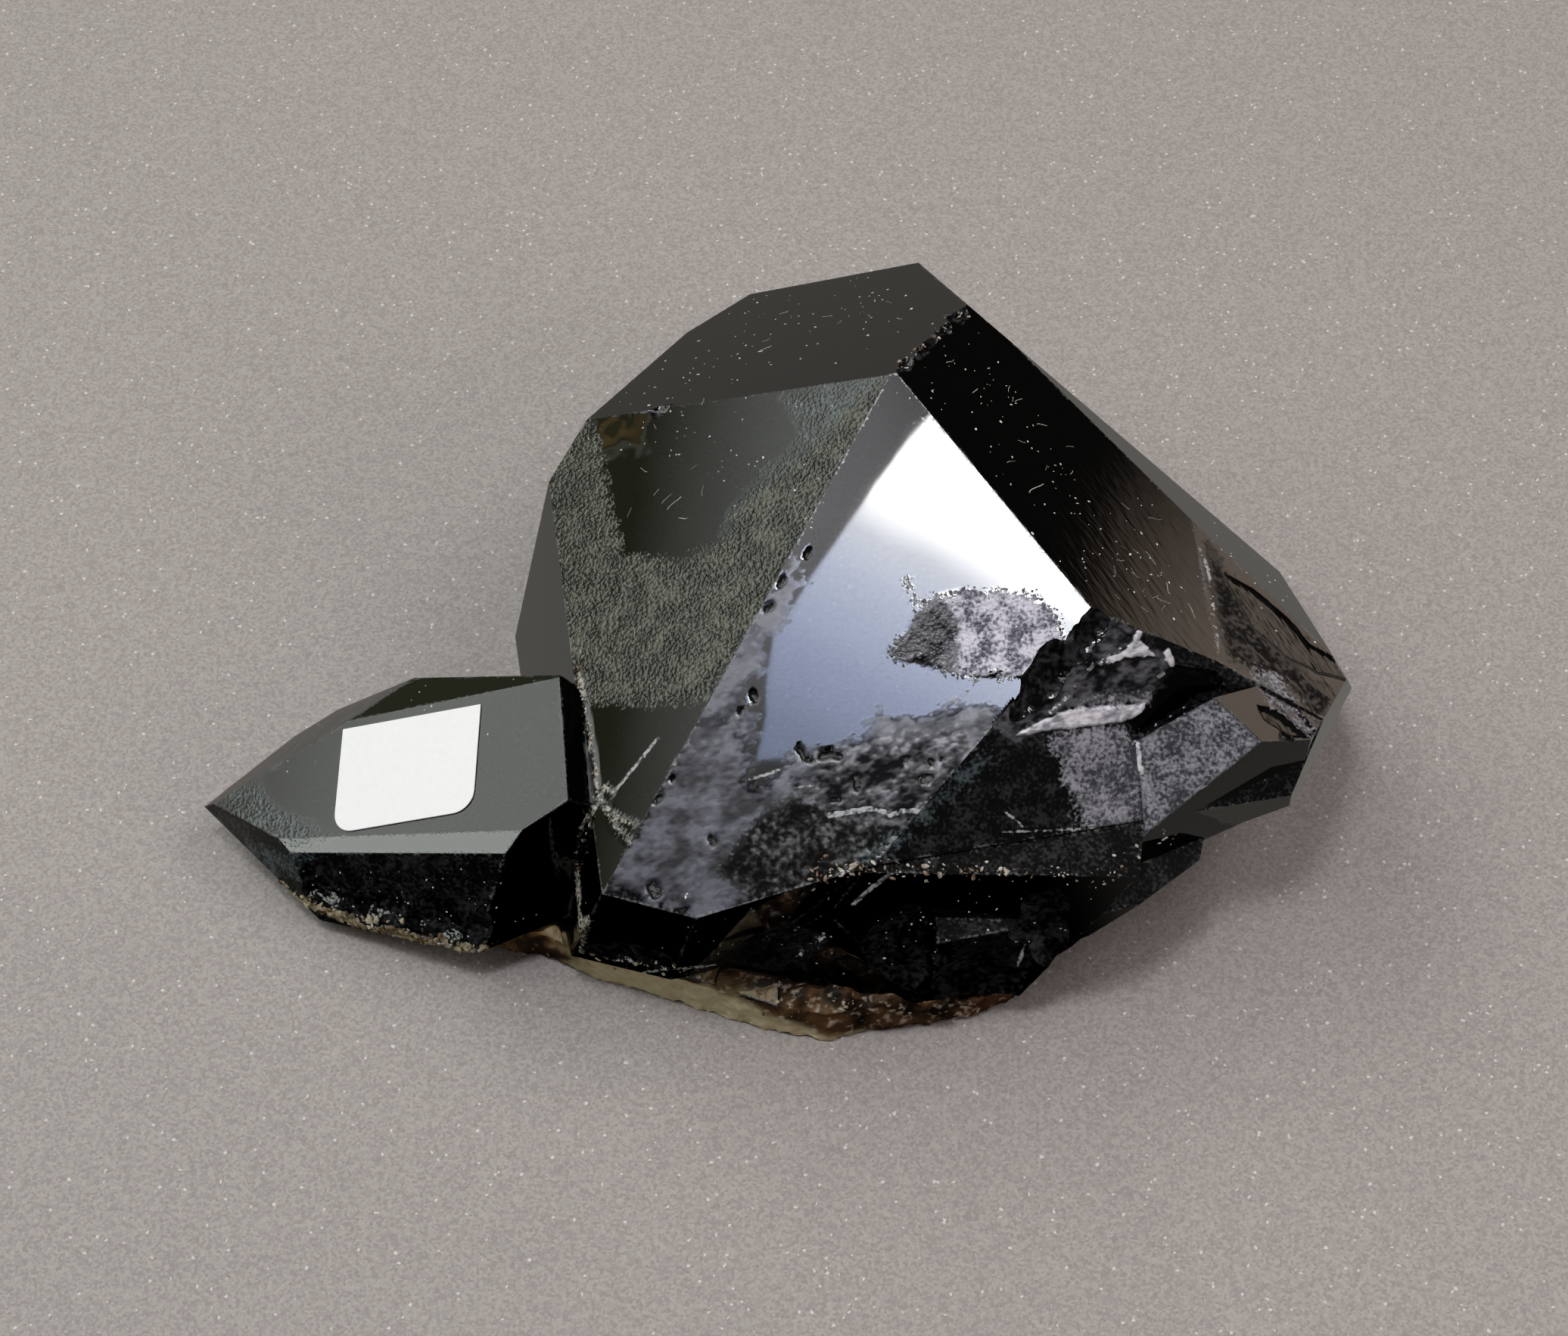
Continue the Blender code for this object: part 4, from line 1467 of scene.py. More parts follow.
@dataclass(frozen=True)
class FeldsparStone:
    """Massive feldspar, broken rough: the eye gets a dull tan stone with rusty stains and pale glints.

    It is brown at the left, beige from one place on and rusty from the next. These places are across, in
    millimetres, and they wander. The stain and glint ranges are the parts of the noise where each sets in.
    """

    name: str = "feldspar_broken"
    pale: str = "d6caaa"
    tan: str = "98835a"
    rust: str = "1c140d"
    ochre: str = "5c4328"
    glint: str = "a8998a"
    bark: str = "3c2814"
    clay: str = "86683e"
    grain: float = 0.8
    stain: float = 2.5
    beige_from: float = -17.0
    rust_from: float = 7.0
    rust_rise: float = 3.0
    border: float = 2.5
    wander: float = 8.0
    stain_range: tuple[float, float] = (0.42, 0.62)
    glint_range: tuple[float, float] = (0.54, 0.66)
    relief: float = 0.2
    roughness: float = 0.6
    refraction: float = 1.52

    def make(self) -> Material:
        """Make the material.

        Returns:
            The stained feldspar.
        """
        made, tree, output = fresh_material(self.name)
        where = add_node(tree, "TexCoord").outputs["Object"]
        grains = add_node(tree, "TexNoise", {},
                          {"Vector": where, "Scale": 1 / (self.grain * MM), "Detail": 5.0})
        stains = add_node(tree, "TexNoise", {},
                          {"Vector": where, "Scale": 1 / (self.stain * MM), "Detail": 4.0})
        parts = add_node(tree, "SeparateXYZ", {}, {0: where})
        wandering = add_node(tree, "Math", {"operation": "MULTIPLY_ADD"},
                             {0: stains.outputs[0], 1: self.wander * MM, 2: parts.outputs["X"]})
        rising = add_node(tree, "Math", {"operation": "MULTIPLY_ADD"},
                          {0: parts.outputs["Z"], 1: self.rust_rise, 2: wandering.outputs[0]})
        rusting, glints = (
            add_node(tree, "MapRange", {}, {"Value": noise.outputs[0], "From Min": low, "From Max": high})
            for noise, (low, high) in ((stains, self.stain_range), (grains, self.glint_range))
        )
        stone = add_node(tree, "Mix", {"data_type": "RGBA"},
                         {0: grains.outputs[0], 6: linear(self.tan), 7: linear(self.pale)})
        rusted = add_node(tree, "Mix", {"data_type": "RGBA"},
                          {0: rusting.outputs[0], 6: linear(self.rust), 7: linear(self.ochre)})
        stained = add_node(tree, "Mix", {"data_type": "RGBA"},
                           {0: glints.outputs[0], 6: rusted.outputs[2], 7: linear(self.glint)})
        colour = add_node(tree, "Mix", {"data_type": "RGBA"},
                          {0: rusting.outputs[0], 6: linear(self.bark), 7: linear(self.clay)})
        for start, place, stuff in ((self.beige_from, wandering, stone), (self.rust_from, rising, stained)):
            middle = (start + self.wander / 2) * MM
            share = add_node(tree, "MapRange", {"interpolation_type": "SMOOTHSTEP"}, {
                "Value": place.outputs[0],
                "From Min": middle - self.border * MM,
                "From Max": middle + self.border * MM,
            })
            colour = add_node(tree, "Mix", {"data_type": "RGBA"},
                              {0: share.outputs[0], 6: colour.outputs[2], 7: stuff.outputs[2]})
        bump = add_node(tree, "Bump", {}, {
            "Strength": 1.0,
            "Distance": self.relief * MM,
            "Height": grains.outputs[0],
        })
        shader = add_node(tree, "BsdfPrincipled", {}, {
            "Base Color": colour.outputs[2],
            "Roughness": self.roughness,
            "IOR": self.refraction,
            "Normal": bump.outputs[0],
        })
        tree.links.new(shader.outputs[0], output.inputs["Surface"])
        return made


@dataclass
class FeldsparCrust:
    """The crust under the front: the CAD solid's shape, roughened like broken stone."""

    name: str = "feldspar_crust"
    voxel: float = 0.32
    roughness: float = 0.8
    grain: float = 1.5
    grain_detail: int = 3
    grain_level: float = 0.85
    smooth_angle: float = 22.0

    def build(self) -> Piece:
        """Build the crust.

        Returns:
            The finished piece.
        """
        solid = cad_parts["feldspar_matrix"]
        crust = bpy.data.objects.new(self.name, solid.data.copy())
        bpy.context.scene.collection.objects.link(crust)
        crust.matrix_world = solid.matrix_world
        apply_place(crust)
        edit_everything()
        bpy.ops.mesh.remove_doubles(threshold=COPY_WELD)
        bpy.ops.object.mode_set(mode="OBJECT")
        shape = crust.modifiers.new("fine_mesh", "REMESH")
        shape.mode = "VOXEL"
        shape.voxel_size = self.voxel * MM
        bpy.ops.object.modifier_apply(modifier=shape.name)
        grains = bpy.data.textures.new("broken_stone", "CLOUDS")
        grains.noise_scale = self.grain * MM
        grains.noise_depth = self.grain_detail
        rough = crust.modifiers.new("broken_stone", "DISPLACE")
        rough.texture = grains
        rough.texture_coords = "LOCAL"
        rough.strength = self.roughness * MM
        rough.mid_level = self.grain_level
        bpy.ops.object.modifier_apply(modifier=rough.name)
        bpy.ops.object.shade_smooth_by_angle(angle=math.radians(self.smooth_angle))
        crust.data.materials.clear()
        crust.data.materials.append(FeldsparStone().make())
        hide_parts("feldspar_matrix")
        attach(crust, "root")
        log.info("%s: %d faces", crust.name, len(crust.data.polygons))
        return crust


class BitShape(Enum):
    """What a small bit is modelled as."""

    SPECK = "speck"
    FIBRE = "fibre"


@dataclass(frozen=True)
class Scatter:
    """Small bits along a line of the photograph. Their spread and their sizes are in millimetres."""

    points: Pixels
    spread: float
    count: int
    smallest: float
    largest: float

    def pixel(self, draw: random.Random) -> tuple[float, float]:
        """Draw the place of one bit.

        Args:
            draw: where the random numbers come from.

        Returns:
            The pixel across and down.
        """
        lengths = [math.dist(start, end) for start, end in zip(self.points, self.points[1:])]
        number = draw.choices(range(len(lengths)), weights=lengths)[0]
        (ax, ay), (bx, by) = self.points[number:number + 2]
        share = draw.random()
        reach = self.spread * PHOTO.pixels_per_mm
        across = ax + (bx - ax) * share + draw.gauss(0, reach)
        return across, ay + (by - ay) * share + draw.gauss(0, reach)


@dataclass(frozen=True)
class BitStuff:
    """What small bits are made of: house dust, paper lint or crumbs of feldspar, matt and pale to the eye."""

    name: str
    pale: str
    dark: str
    unevenness: float = 1.5
    share_range: tuple[float, float] = (0.4, 0.6)
    roughness: float = 0.7

    def make(self) -> Material:
        """Make the material.

        Returns:
            The matt stuff, uneven in colour.
        """
        made, tree, output = fresh_material(self.name)
        where = add_node(tree, "TexCoord").outputs["Object"]
        uneven = add_node(tree, "TexNoise", {},
                          {"Vector": where, "Scale": 1 / (self.unevenness * MM), "Detail": 3.0})
        low, high = self.share_range
        share = add_node(tree, "MapRange", {},
                         {"Value": uneven.outputs[0], "From Min": low, "From Max": high})
        colour = add_node(tree, "Mix", {"data_type": "RGBA"},
                          {0: share.outputs[0], 6: linear(self.dark), 7: linear(self.pale)})
        shader = add_node(tree, "BsdfPrincipled", {},
                          {"Base Color": colour.outputs[2], "Roughness": self.roughness})
        tree.links.new(shader.outputs[0], output.inputs["Surface"])
        return made


@dataclass(frozen=True)
class SmallBits:
    """Bits of one stuff on the cluster, each a small mesh that lies on the surface where the camera sees it.

    Size is the length of the bit that is modelled. Lumps is the range of a speck's radii, and length and
    breadth are the ranges that a copy is stretched by. Bits lower than lowest above the table are left out.
    """

    name: str
    slot: str
    shape: BitShape
    stuff: BitStuff
    scatters: tuple[Scatter, ...]
    size: float = 1.0
    lumps: tuple[float, float] = (0.6, 1.2)
    length: tuple[float, float] = (0.8, 1.4)
    breadth: tuple[float, float] = (0.5, 1.0)
    flatness: float = 0.45
    fibre_radius: float = 0.03
    fibre_steps: int = 6
    clearance: float = 0.01
    lowest: float = 0.5
    seed: int = 5

    def model(self) -> Piece:
        """Model one bit, a millimetre long.

        Returns:
            The bit.
        """
        deselect_everything()
        if self.shape is BitShape.SPECK:
            bpy.ops.mesh.primitive_ico_sphere_add(subdivisions=1, radius=self.size / 2 * MM)
            bit = bpy.context.object
            draw = random.Random(self.seed)
            uneven = np.array([draw.uniform(*self.lumps) for _ in bit.data.vertices])
            set_coordinates(bit.data, coordinates(bit.data) * uneven[:, None])
            return bit
        bpy.ops.curve.primitive_bezier_curve_add(radius=self.size / 2 * MM)
        bit = bpy.context.object
        bit.data.resolution_u = self.fibre_steps
        bit.data.bevel_depth = self.fibre_radius * MM
        bit.data.bevel_resolution = 0
        bit.data.use_fill_caps = True
        bpy.ops.object.convert(target="MESH")
        return bpy.context.object

    def build(self, surfaces: list[Piece]) -> Piece:
        """Lay the bits on the surfaces.

        Args:
            surfaces: the finished pieces that the bits lie on.

        Returns:
            The finished piece.
        """
        trees = []
        for surface in surfaces:
            mesh = surface.data
            places = [vertex.co for vertex in mesh.vertices]
            trees.append(BVHTree.FromPolygons(places, [polygon.vertices[:] for polygon in mesh.polygons]))
        draw = random.Random(self.seed)
        model = self.model()
        bits = []
        for scatter in self.scatters:
            for _ in range(scatter.count):
                pixel = scatter.pixel(draw)
                size = scatter.smallest + (scatter.largest - scatter.smallest) * draw.random() ** 2
                turn = draw.uniform(0, 2 * math.pi)
                shape = (draw.uniform(*self.length), draw.uniform(*self.breadth), self.flatness)
                hits = [tree.ray_cast(PHOTO.place, PHOTO.sight(pixel)) for tree in trees]
                hits = [hit for hit in hits if hit[0]]
                if not hits:
                    continue
                place, normal, _, _ = min(hits, key=lambda hit: hit[3])
                if place.z < self.lowest * MM:
                    continue
                bit = model.copy()
                bit.data = model.data.copy()
                bpy.context.scene.collection.objects.link(bit)
                turned = normal.to_track_quat("Z", "Y").to_matrix().to_4x4() @ Matrix.Rotation(turn, 4, "Z")
                scale = Matrix.Diagonal((*(size * value for value in shape), 1.0))
                bit.matrix_world = Matrix.Translation(place + normal * self.clearance * MM) @ turned @ scale
                bits.append(bit)
        bpy.data.objects.remove(model, do_unlink=True)
        piece = apply_place(join(bits, self.name))
        piece.data.materials.clear()
        piece.data.materials.append(self.stuff.make())
        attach(piece, "root")
        log.info("%s: %d bits", piece.name, len(bits))
        return piece


ALONG_TOP: Pixels = ((880, 500), (1040, 420), (1200, 400))
ALONG_RIGHT_BAND: Pixels = ((1230, 470), (1400, 640), (1560, 800))
ACROSS_BAND_FOOT: Pixels = ((1380, 720), (1580, 780))
ALONG_RIGHT_END: Pixels = ((1600, 640), (1720, 800))
ACROSS_LEFT: Pixels = ((800, 560), (1000, 620), (1080, 600))
ALONG_FRONT_FOOT: Pixels = ((860, 1240), (1100, 1240), (1400, 1200))
DOWN_BROAD_FRONT: Pixels = ((1180, 540), (1260, 700), (1330, 780))
ALONG_SIDE_FRONT: Pixels = ((420, 1170), (700, 1200))
ACROSS_SIDE_TOP: Pixels = ((400, 1000), (640, 900))
FIBRES_ALONG_TOP: Pixels = ((900, 490), (1080, 420), (1210, 400))
FIBRES_ALONG_BAND: Pixels = ((1260, 480), (1400, 640), (1570, 800))
FIBRES_ON_LEFT: Pixels = ((840, 590), (900, 640), (870, 690))
FIBRES_BELOW_BAND: Pixels = ((1480, 740), (1540, 800))
CRUMBS_BELOW_FOOT: Pixels = ((1060, 1168), (1140, 1146), (1214, 1154), (1330, 1152))
CRUMBS_BELOW_FRONT: Pixels = ((1330, 1154), (1443, 1154))
CRUMB_HEAP: Pixels = ((1080, 1150), (1130, 1140))
CRUMBS_IN_SEAM: Pixels = ((764, 860), (774, 940), (790, 1052), (764, 1130), (770, 1235))
CRUMBS_AT_ROOT: Pixels = ((1440, 1180), (1500, 1120), (1560, 1110))
CRUMBS_ON_RIDGE: Pixels = ((1595, 749), (1610, 870))
CRUMBS_AT_TOP: Pixels = ((1183, 489), (1279, 409))
RIM_UNDER_SIDE: Pixels = ((345, 1160), (400, 1192), (470, 1217), (560, 1240), (640, 1256), (720, 1262))
RIM_UNDER_FRONT: Pixels = ((780, 1262), (900, 1285), (1010, 1316), (1130, 1330))
RIM_HEAP: Pixels = ((1016, 1322), (1120, 1330), (1230, 1322))

SMALL_BITS = (
    SmallBits(
        "dust_specks",
        "white_paper",
        BitShape.SPECK,
        BitStuff("house_dust", "f2f0ea", "b5b2a8"),
        (
            Scatter(ALONG_TOP, 1.9, 110, 0.1, 0.3),
            Scatter(ALONG_RIGHT_BAND, 2.2, 110, 0.08, 0.26),
            Scatter(ACROSS_BAND_FOOT, 2.0, 20, 0.08, 0.24),
            Scatter(ALONG_RIGHT_END, 1.6, 40, 0.1, 0.25),
            Scatter(ACROSS_LEFT, 2.8, 60, 0.1, 0.26),
            Scatter(ALONG_FRONT_FOOT, 1.8, 70, 0.1, 0.22),
            Scatter(DOWN_BROAD_FRONT, 2.0, 16, 0.1, 0.2),
            Scatter(ALONG_SIDE_FRONT, 1.4, 40, 0.1, 0.2),
            Scatter(ACROSS_SIDE_TOP, 2.4, 25, 0.1, 0.2),
        ),
    ),
    SmallBits(
        "lint_fibres",
        "white_paper",
        BitShape.FIBRE,
        BitStuff("paper_lint", "d8d6cc", "97958a"),
        (
            Scatter(FIBRES_ALONG_TOP, 1.6, 12, 0.7, 1.6),
            Scatter(FIBRES_ALONG_BAND, 1.8, 22, 0.6, 1.5),
            Scatter(FIBRES_ON_LEFT, 1.4, 9, 0.6, 1.4),
            Scatter(FIBRES_BELOW_BAND, 1.2, 7, 0.6, 1.2),
        ),
    ),
    SmallBits(
        "feldspar_grains",
        "tan_feldspar",
        BitShape.SPECK,
        BitStuff("feldspar_crumbs", "cbc4ba", "755c48"),
        (
            Scatter(CRUMBS_BELOW_FOOT, 0.35, 90, 0.1, 0.6),
            Scatter(CRUMBS_BELOW_FRONT, 0.25, 22, 0.1, 0.4),
            Scatter(CRUMB_HEAP, 0.5, 16, 0.15, 0.7),
            Scatter(CRUMBS_IN_SEAM, 0.16, 60, 0.1, 0.4),
            Scatter(CRUMBS_AT_ROOT, 0.6, 26, 0.12, 0.5),
            Scatter(CRUMBS_ON_RIDGE, 0.12, 22, 0.1, 0.35),
            Scatter(CRUMBS_AT_TOP, 0.25, 20, 0.1, 0.4),
        ),
        flatness=0.7,
    ),
    SmallBits(
        "feldspar_rim",
        "tan_feldspar",
        BitShape.SPECK,
        BitStuff("feldspar_broken_rim", "b3a88f", "4a3823"),
        (
            Scatter(RIM_UNDER_SIDE, 0.3, 190, 0.15, 0.9),
            Scatter(RIM_UNDER_FRONT, 0.25, 50, 0.15, 0.6),
            Scatter(RIM_HEAP, 0.7, 16, 0.1, 0.4),
        ),
        flatness=0.4,
        seed=8,
    ),
)


@dataclass(frozen=True)
class StickerPaper:
    """Coated sticker paper, calendered: the eye gets an even white with faint fibres and a low sheen."""

    name: str = "sticker_paper"
    white: str = "fdfdfe"
    shade: str = "f4f5f6"
    fibre: float = 0.5
    relief: float = 0.02
    relief_share: float = 0.3
    roughness: float = 0.45

    def make(self) -> Material:
        """Make the material.

        Returns:
            The paper.
        """
        made, tree, output = fresh_material(self.name)
        where = add_node(tree, "TexCoord").outputs["Object"]
        fibres = add_node(tree, "TexNoise", {},
                          {"Vector": where, "Scale": 1 / (self.fibre * MM), "Detail": 4.0})
        colour = add_node(tree, "Mix", {"data_type": "RGBA"},
                          {0: fibres.outputs[0], 6: linear(self.white), 7: linear(self.shade)})
        bump = add_node(tree, "Bump", {}, {
            "Strength": self.relief_share,
            "Distance": self.relief * MM,
            "Height": fibres.outputs[0],
        })
        shader = add_node(tree, "BsdfPrincipled", {}, {
            "Base Color": colour.outputs[2],
            "Roughness": self.roughness,
            "Normal": bump.outputs[0],
        })
        tree.links.new(shader.outputs[0], output.inputs["Surface"])
        return made


@dataclass
class PaperLabel:
    """The blank sticker on the side crystal, square at its upper corners and round at its lower ones."""

    name: str = "blank_paper_label"
    centre: tuple[float, float, float] = (-30.7, -8.8, 13.0)
    width: float = 13.0
    height: float = 9.5
    corner: float = 1.8
    thickness: float = 0.12
    lift: float = 0.03
    turn: float = 21.0
    corner_steps: int = 8
    edge_cut: float = 0.03

    def outline(self) -> list[tuple[float, float]]:
        """The outline's points across and up, in millimetres."""
        half_width = self.width / 2
        half_height = self.height / 2
        points = [(half_width, half_height), (-half_width, half_height)]
        for side, start in ((-1, 180.0), (1, 270.0)):
            middle = side * (half_width - self.corner)
            for step in range(self.corner_steps + 1):
                angle = math.radians(start + 90.0 * step / self.corner_steps)
                across = middle + self.corner * math.cos(angle)
                points.append((across, self.corner - half_height + self.corner * math.sin(angle)))
        return points

    def build(self) -> Piece:
        """Build the label.

        Returns:
            The finished piece.
        """
        points = self.outline()
        deselect_everything()
        radius = self.height / 2 * MM
        bpy.ops.mesh.primitive_circle_add(vertices=len(points), radius=radius, fill_type="NGON")
        label = bpy.context.object
        label.name = self.name
        set_coordinates(label.data, np.array([(x * MM, y * MM, 0.0) for x, y in points]))
        edit_everything()
        bpy.ops.mesh.extrude_region_move(TRANSFORM_OT_translate={"value": (0.0, 0.0, self.thickness * MM)})
        bpy.ops.mesh.select_all(action="SELECT")
        bpy.ops.mesh.normals_make_consistent(inside=False)
        bpy.ops.object.mode_set(mode="OBJECT")
        face = FACES["side/label_face"]
        azimuth = math.radians(face.azimuth)
        level = Vector((-math.sin(azimuth), math.cos(azimuth), 0.0))
        outward = face.normal
        uphill = outward.cross(level)
        turn = math.radians(self.turn)
        across = uphill * math.cos(turn) + level * math.sin(turn)
        upward = outward.cross(across)
        middle = LAYOUT_POINT + Vector(self.centre) * MM
        place = middle + outward * (outward.dot(face.centre - middle) + self.lift * MM)
        turned = Matrix((across, upward, outward)).transposed().to_4x4()
        label.matrix_world = Matrix.Translation(place) @ turned
        apply_place(label)
        edge = label.modifiers.new("cut_edge", "BEVEL")
        edge.width = self.edge_cut * MM
        edge.segments = 1
        bpy.ops.object.modifier_apply(modifier=edge.name)
        label.data.materials.append(StickerPaper().make())
        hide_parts("paper_label")
        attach(label, "root")
        log.info("%s: %d faces", label.name, len(label.data.polygons))
        return label


@dataclass(frozen=True)
class Card:
    """A soft light: a glowing card seen from the cluster at an azimuth and elevation in degrees."""

    name: str
    azimuth: float
    elevation: float
    distance: float
    width: float
    height: float
    colour: str
    brightness: float
    soft_edge: float = 60.0
    mirrored: bool = True
    cells: int = 6

    def build(self) -> Piece:
        """Hang the card up, facing the cluster and fading out over its soft edge.

        Returns:
            The card.
        """
        azimuth = math.radians(self.azimuth)
        elevation = math.radians(self.elevation)
        flat = math.cos(elevation)
        towards = Vector((flat * math.cos(azimuth), flat * math.sin(azimuth), math.sin(elevation)))
        deselect_everything()
        bpy.ops.mesh.primitive_grid_add(x_subdivisions=self.cells, y_subdivisions=self.cells, size=1.0)
        card = bpy.context.object
        card.name = self.name
        places = np.abs(coordinates(card.data))
        inside = np.minimum((0.5 - places[:, 0]) * self.width, (0.5 - places[:, 1]) * self.height)
        fade = card.data.attributes.new("fade", "FLOAT", "POINT")
        fade.data.foreach_set("value", smooth_rise(inside / self.soft_edge).astype(np.float32))
        card.scale = (self.width * MM, self.height * MM, 1.0)
        card.rotation_euler = (-towards).to_track_quat("Z", "Y").to_euler()
        card.location = towards * self.distance * MM
        apply_place(card)
        made, tree, output = fresh_material(f"{self.name}_glow")
        share = add_node(tree, "Attribute", {"attribute_name": "fade"}).outputs["Fac"]
        glow = add_node(tree, "Emission", {}, {"Color": linear(self.colour), "Strength": self.brightness})
        gone = add_node(tree, "BsdfTransparent")
        mixed = add_node(tree, "MixShader", {}, {0: share, 1: gone.outputs[0], 2: glow.outputs[0]})
        tree.links.new(mixed.outputs[0], output.inputs["Surface"])
        card.data.materials.append(made)
        card.visible_camera = False
        card.visible_glossy = self.mirrored
        return card


@dataclass(frozen=True)
class Skylight:
    """The overhead window: white at one end and fading through blue, with a dark frame on its left."""

    name: str = "skylight"
    height: float = 600.0
    outline: tuple[tuple[float, float], ...] = (
        (-168, -122), (-164, -111), (-162, -99), (-160, -91), (-145, -72), (-130, -54),
        (-117, -41), (-60, 16), (-20, 0), (-20, -100), (-100, -114), (-135, -121),
    )
    soft_edge: tuple[tuple[float, float], tuple[float, float]] = ((-130.0, -58.0), (-77.0, -93.0))
    fade: tuple[tuple[float, str, float], ...] = (
        (-100.0, "c9d8ff", 4.0),
        (-62.0, "cbdaff", 6.4),
        (-42.0, "d0dcff", 9.6),
        (-22.0, "dde6ff", 13.0),
        (-7.0, "eef3ff", 15.5),
        (3.0, "ffffff", 28.0),
    )

    def build(self) -> Piece:
        """Hang the skylight over the table.

        Returns:
            The skylight.
        """
        deselect_everything()
        bpy.ops.mesh.primitive_circle_add(vertices=len(self.outline), fill_type="NGON")
        card = bpy.context.object
        card.name = self.name
        places = [Vector((x, y, self.height)) * MM + LAYOUT_POINT for x, y in self.outline]
        set_coordinates(card.data, np.array(places))
        (ax, ay), (bx, by) = self.soft_edge
        length = math.hypot(bx - ax, by - ay)
        across = (-(by - ay) / length, (bx - ax) / length)
        made, tree, output = fresh_material("skylight_glow")
        where = add_node(tree, "TexCoord").outputs["Object"]
        start = LAYOUT_POINT + Vector((ax, ay, 0.0)) * MM
        moved = add_node(tree, "VectorMath", {"operation": "SUBTRACT"}, {0: where, 1: start})
        along = add_node(tree, "VectorMath", {"operation": "DOT_PRODUCT"},
                         {0: moved.outputs[0], 1: (*across, 0.0)})
        low = self.fade[0][0] * MM
        high = self.fade[-1][0] * MM
        share = add_node(tree, "MapRange", {},
                         {"Value": along.outputs["Value"], "From Min": low, "From Max": high})
        ramp = add_node(tree, "ValToRGB", {}, {0: share.outputs[0]})
        stops = ramp.color_ramp.elements
        brightest = self.fade[-1][2]
        for number, (distance, colour, brightness) in enumerate(self.fade):
            position = (distance * MM - low) / (high - low)
            stop = stops[number] if number < 2 else stops.new(position)
            stop.position = position
            stop.color = tuple(value * brightness / brightest for value in linear(colour)[:3]) + (1.0,)
        glow = add_node(tree, "Emission", {}, {"Color": ramp.outputs[0], "Strength": brightest})
        tree.links.new(glow.outputs[0], output.inputs["Surface"])
        card.data.materials.append(made)
        card.visible_camera = False
        return card


@dataclass(frozen=True)
class TableTop:
    """Speckled laminate, pressed matt: the eye gets an even warm grey with a fine pale grit."""

    name: str = "table_top"
    size: float = 4000.0
    ground: str = "b3ada9"
    dark: str = "989290"
    grit: str = "d9d5d2"
    grain: float = 0.22
    grit_share: float = 0.006
    roughness: float = 0.6

    def build(self) -> Piece:
        """Lay the table under the cluster.

        Returns:
            The table top.
        """
        deselect_everything()
        bpy.ops.mesh.primitive_plane_add(size=self.size * MM)
        table = bpy.context.object
        table.name = self.name
        made, tree, output = fresh_material("speckled_laminate")
        where = add_node(tree, "TexCoord").outputs["Object"]
        grains = add_node(tree, "TexVoronoi", {}, {"Vector": where, "Scale": 1 / (self.grain * MM)})
        chance = add_node(tree, "SeparateColor", {}, {0: grains.outputs["Color"]})
        base = add_node(tree, "Mix", {"data_type": "RGBA"},
                        {0: chance.outputs[0], 6: linear(self.dark), 7: linear(self.ground)})
        bright = add_node(tree, "Math", {"operation": "GREATER_THAN"},
                          {0: chance.outputs[1], 1: 1 - self.grit_share})
        colour = add_node(tree, "Mix", {"data_type": "RGBA"},
                          {0: bright.outputs[0], 6: base.outputs[2], 7: linear(self.grit)})
        shader = add_node(tree, "BsdfPrincipled", {},
                          {"Base Color": colour.outputs[2], "Roughness": self.roughness})
        tree.links.new(shader.outputs[0], output.inputs["Surface"])
        table.data.materials.append(made)
        return table


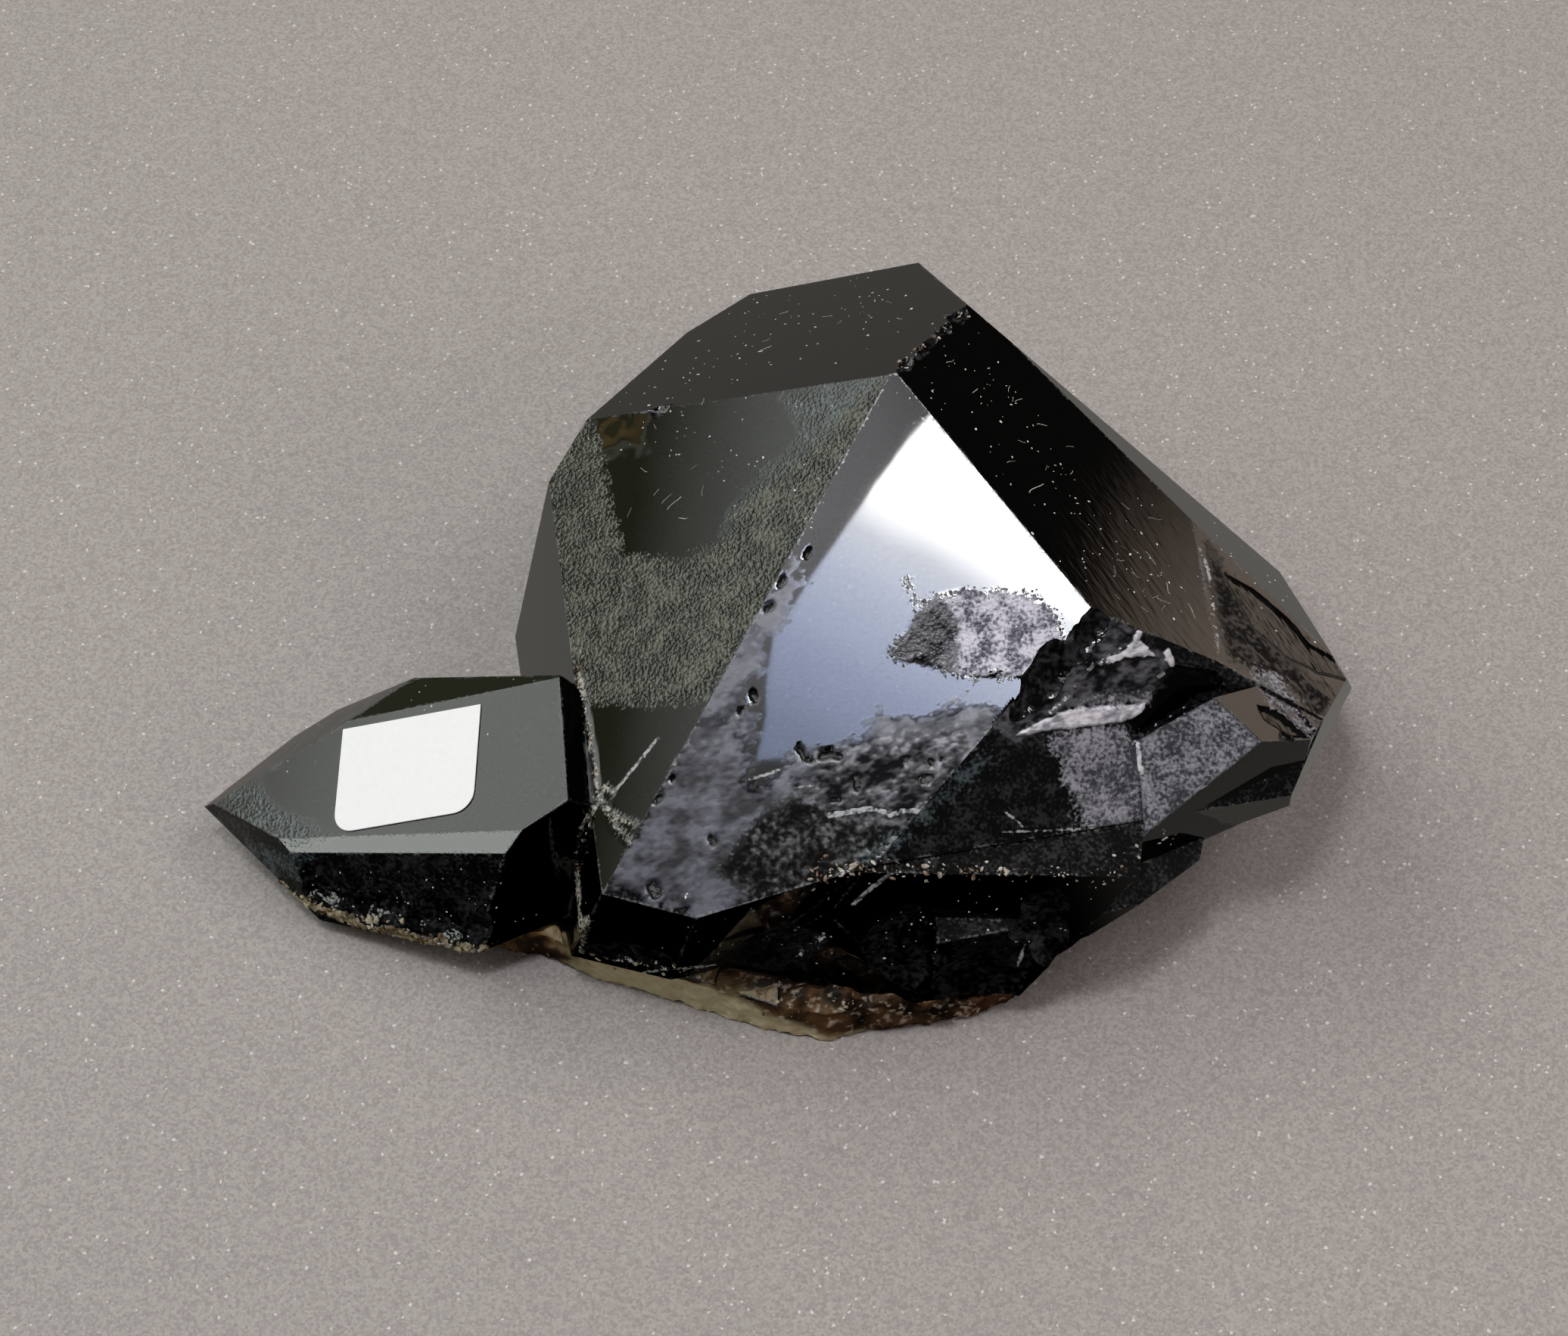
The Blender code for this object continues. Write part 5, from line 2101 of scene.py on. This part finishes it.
@dataclass
class Studio:
    """The plain table, the lights around it and the camera."""

    ambient: str = "b9b6b2"
    ambient_brightness: float = 0.1
    cards: tuple[Card, ...] = (
        Card(
            "back_left_window", azimuth=152.0, elevation=45.0, distance=1150.0, width=1700.0,
            height=668.0, colour="f4f8f2", brightness=2.85, soft_edge=80.0,
        ),
        Card(
            "back_wall", azimuth=150.0, elevation=17.0, distance=1300.0, width=1800.0, height=800.0,
            colour="d8dcb8", brightness=0.44,
        ),
        Card(
            "left_ceiling", azimuth=191.5, elevation=68.0, distance=700.0, width=260.0, height=340.0,
            colour="e4e2e6", brightness=4.2, soft_edge=90.0,
        ),
        Card(
            "right_lamp", azimuth=34.0, elevation=11.0, distance=900.0, width=442.0, height=350.0,
            colour="f0dccb", brightness=1.4, soft_edge=30.0,
        ),
        Card(
            "right_ceiling", azimuth=12.0, elevation=54.0, distance=800.0, width=500.0, height=400.0,
            colour="f6ecea", brightness=4.0, mirrored=False,
        ),
        Card(
            "right_wall", azimuth=334.0, elevation=30.0, distance=800.0, width=500.0, height=300.0,
            colour="f6ecea", brightness=3.4, mirrored=False,
        ),
        Card(
            "front_left_wall", azimuth=217.0, elevation=7.0, distance=900.0, width=420.0, height=200.0,
            colour="eef4ee", brightness=6.0,
        ),
    )
    # Glowing sheet seen only in reflections: mirrored is its painted reflection of the table, mirrored_shade
    # the painted shadow in front.
    mirrored: str = "7d7a75"
    mirrored_shade: str = "020202"
    mirrored_height: float = 0.1
    mirrored_corner: tuple[float, float] = (31.0, -22.0)
    mirrored_softness: float = 5.0
    tones: tuple[tuple[float, float], ...] = ((0.012, 0.008), (0.04, 0.037), (0.1, 0.1))

    def lay_mirrored_table(self) -> None:
        """Lay a glowing sheet that only the crystals' reflections see: a painted reflection of the table, dim
        all round, with painted shadow in front.
        """
        deselect_everything()
        bpy.ops.mesh.primitive_plane_add(size=1.0, location=(0.0, 0.0, self.mirrored_height * MM))
        table = bpy.context.object
        table.name = "mirrored_table"
        made, tree, output = fresh_material("table_in_the_mirror")
        where = add_node(tree, "TexCoord").outputs["Object"]
        parts = add_node(tree, "SeparateXYZ", {}, {0: where})
        shares = []
        for axis, edge in zip("XY", self.mirrored_corner):
            shares.append(add_node(tree, "MapRange", {"interpolation_type": "SMOOTHSTEP"}, {
                "Value": parts.outputs[axis],
                "From Min": (edge - self.mirrored_softness) * MM,
                "From Max": (edge + self.mirrored_softness) * MM,
            }).outputs[0])
        share = add_node(tree, "Math", {"operation": "MAXIMUM"}, {0: shares[0], 1: shares[1]})
        colour = add_node(tree, "Mix", {"data_type": "RGBA"},
                          {0: share.outputs[0], 6: linear(self.mirrored_shade), 7: linear(self.mirrored)})
        glow = add_node(tree, "Emission", {}, {"Color": colour.outputs[2]})
        tree.links.new(glow.outputs[0], output.inputs["Surface"])
        table.data.materials.append(made)
        table.visible_camera = False
        table.visible_diffuse = False
        table.visible_transmission = False
        table.visible_shadow = False

    def build(self) -> None:
        """Set up the table, the lights, the camera and the picture's tones."""
        TableTop().build()
        Skylight().build()
        for card in self.cards:
            card.build()
        self.lay_mirrored_table()
        PHOTO.build()
        world = bpy.data.worlds.new("room")
        world.use_nodes = True
        background = world.node_tree.nodes["Background"]
        background.inputs["Color"].default_value = linear(self.ambient)
        background.inputs["Strength"].default_value = self.ambient_brightness
        scene = bpy.context.scene
        scene.world = world
        scene.view_settings.view_transform = "Standard"
        scene.view_settings.use_curve_mapping = True
        mapping = scene.view_settings.curve_mapping
        points = mapping.curves[3].points
        for level, result in self.tones:
            points.new(level, result)
        mapping.update()
        log.info("studio: %d cards", len(self.cards) + 1)


def main() -> None:
    """Build the cluster and its surroundings."""
    logging.basicConfig(level=logging.INFO, format="%(name)s %(message)s")
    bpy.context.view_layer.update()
    Studio().build()
    surfaces = [QuartzCluster().build(), FeldsparCrust().build()]
    PaperLabel().build()
    for bits in SMALL_BITS:
        bits.build(surfaces)


if __name__ == "__main__":
    main()
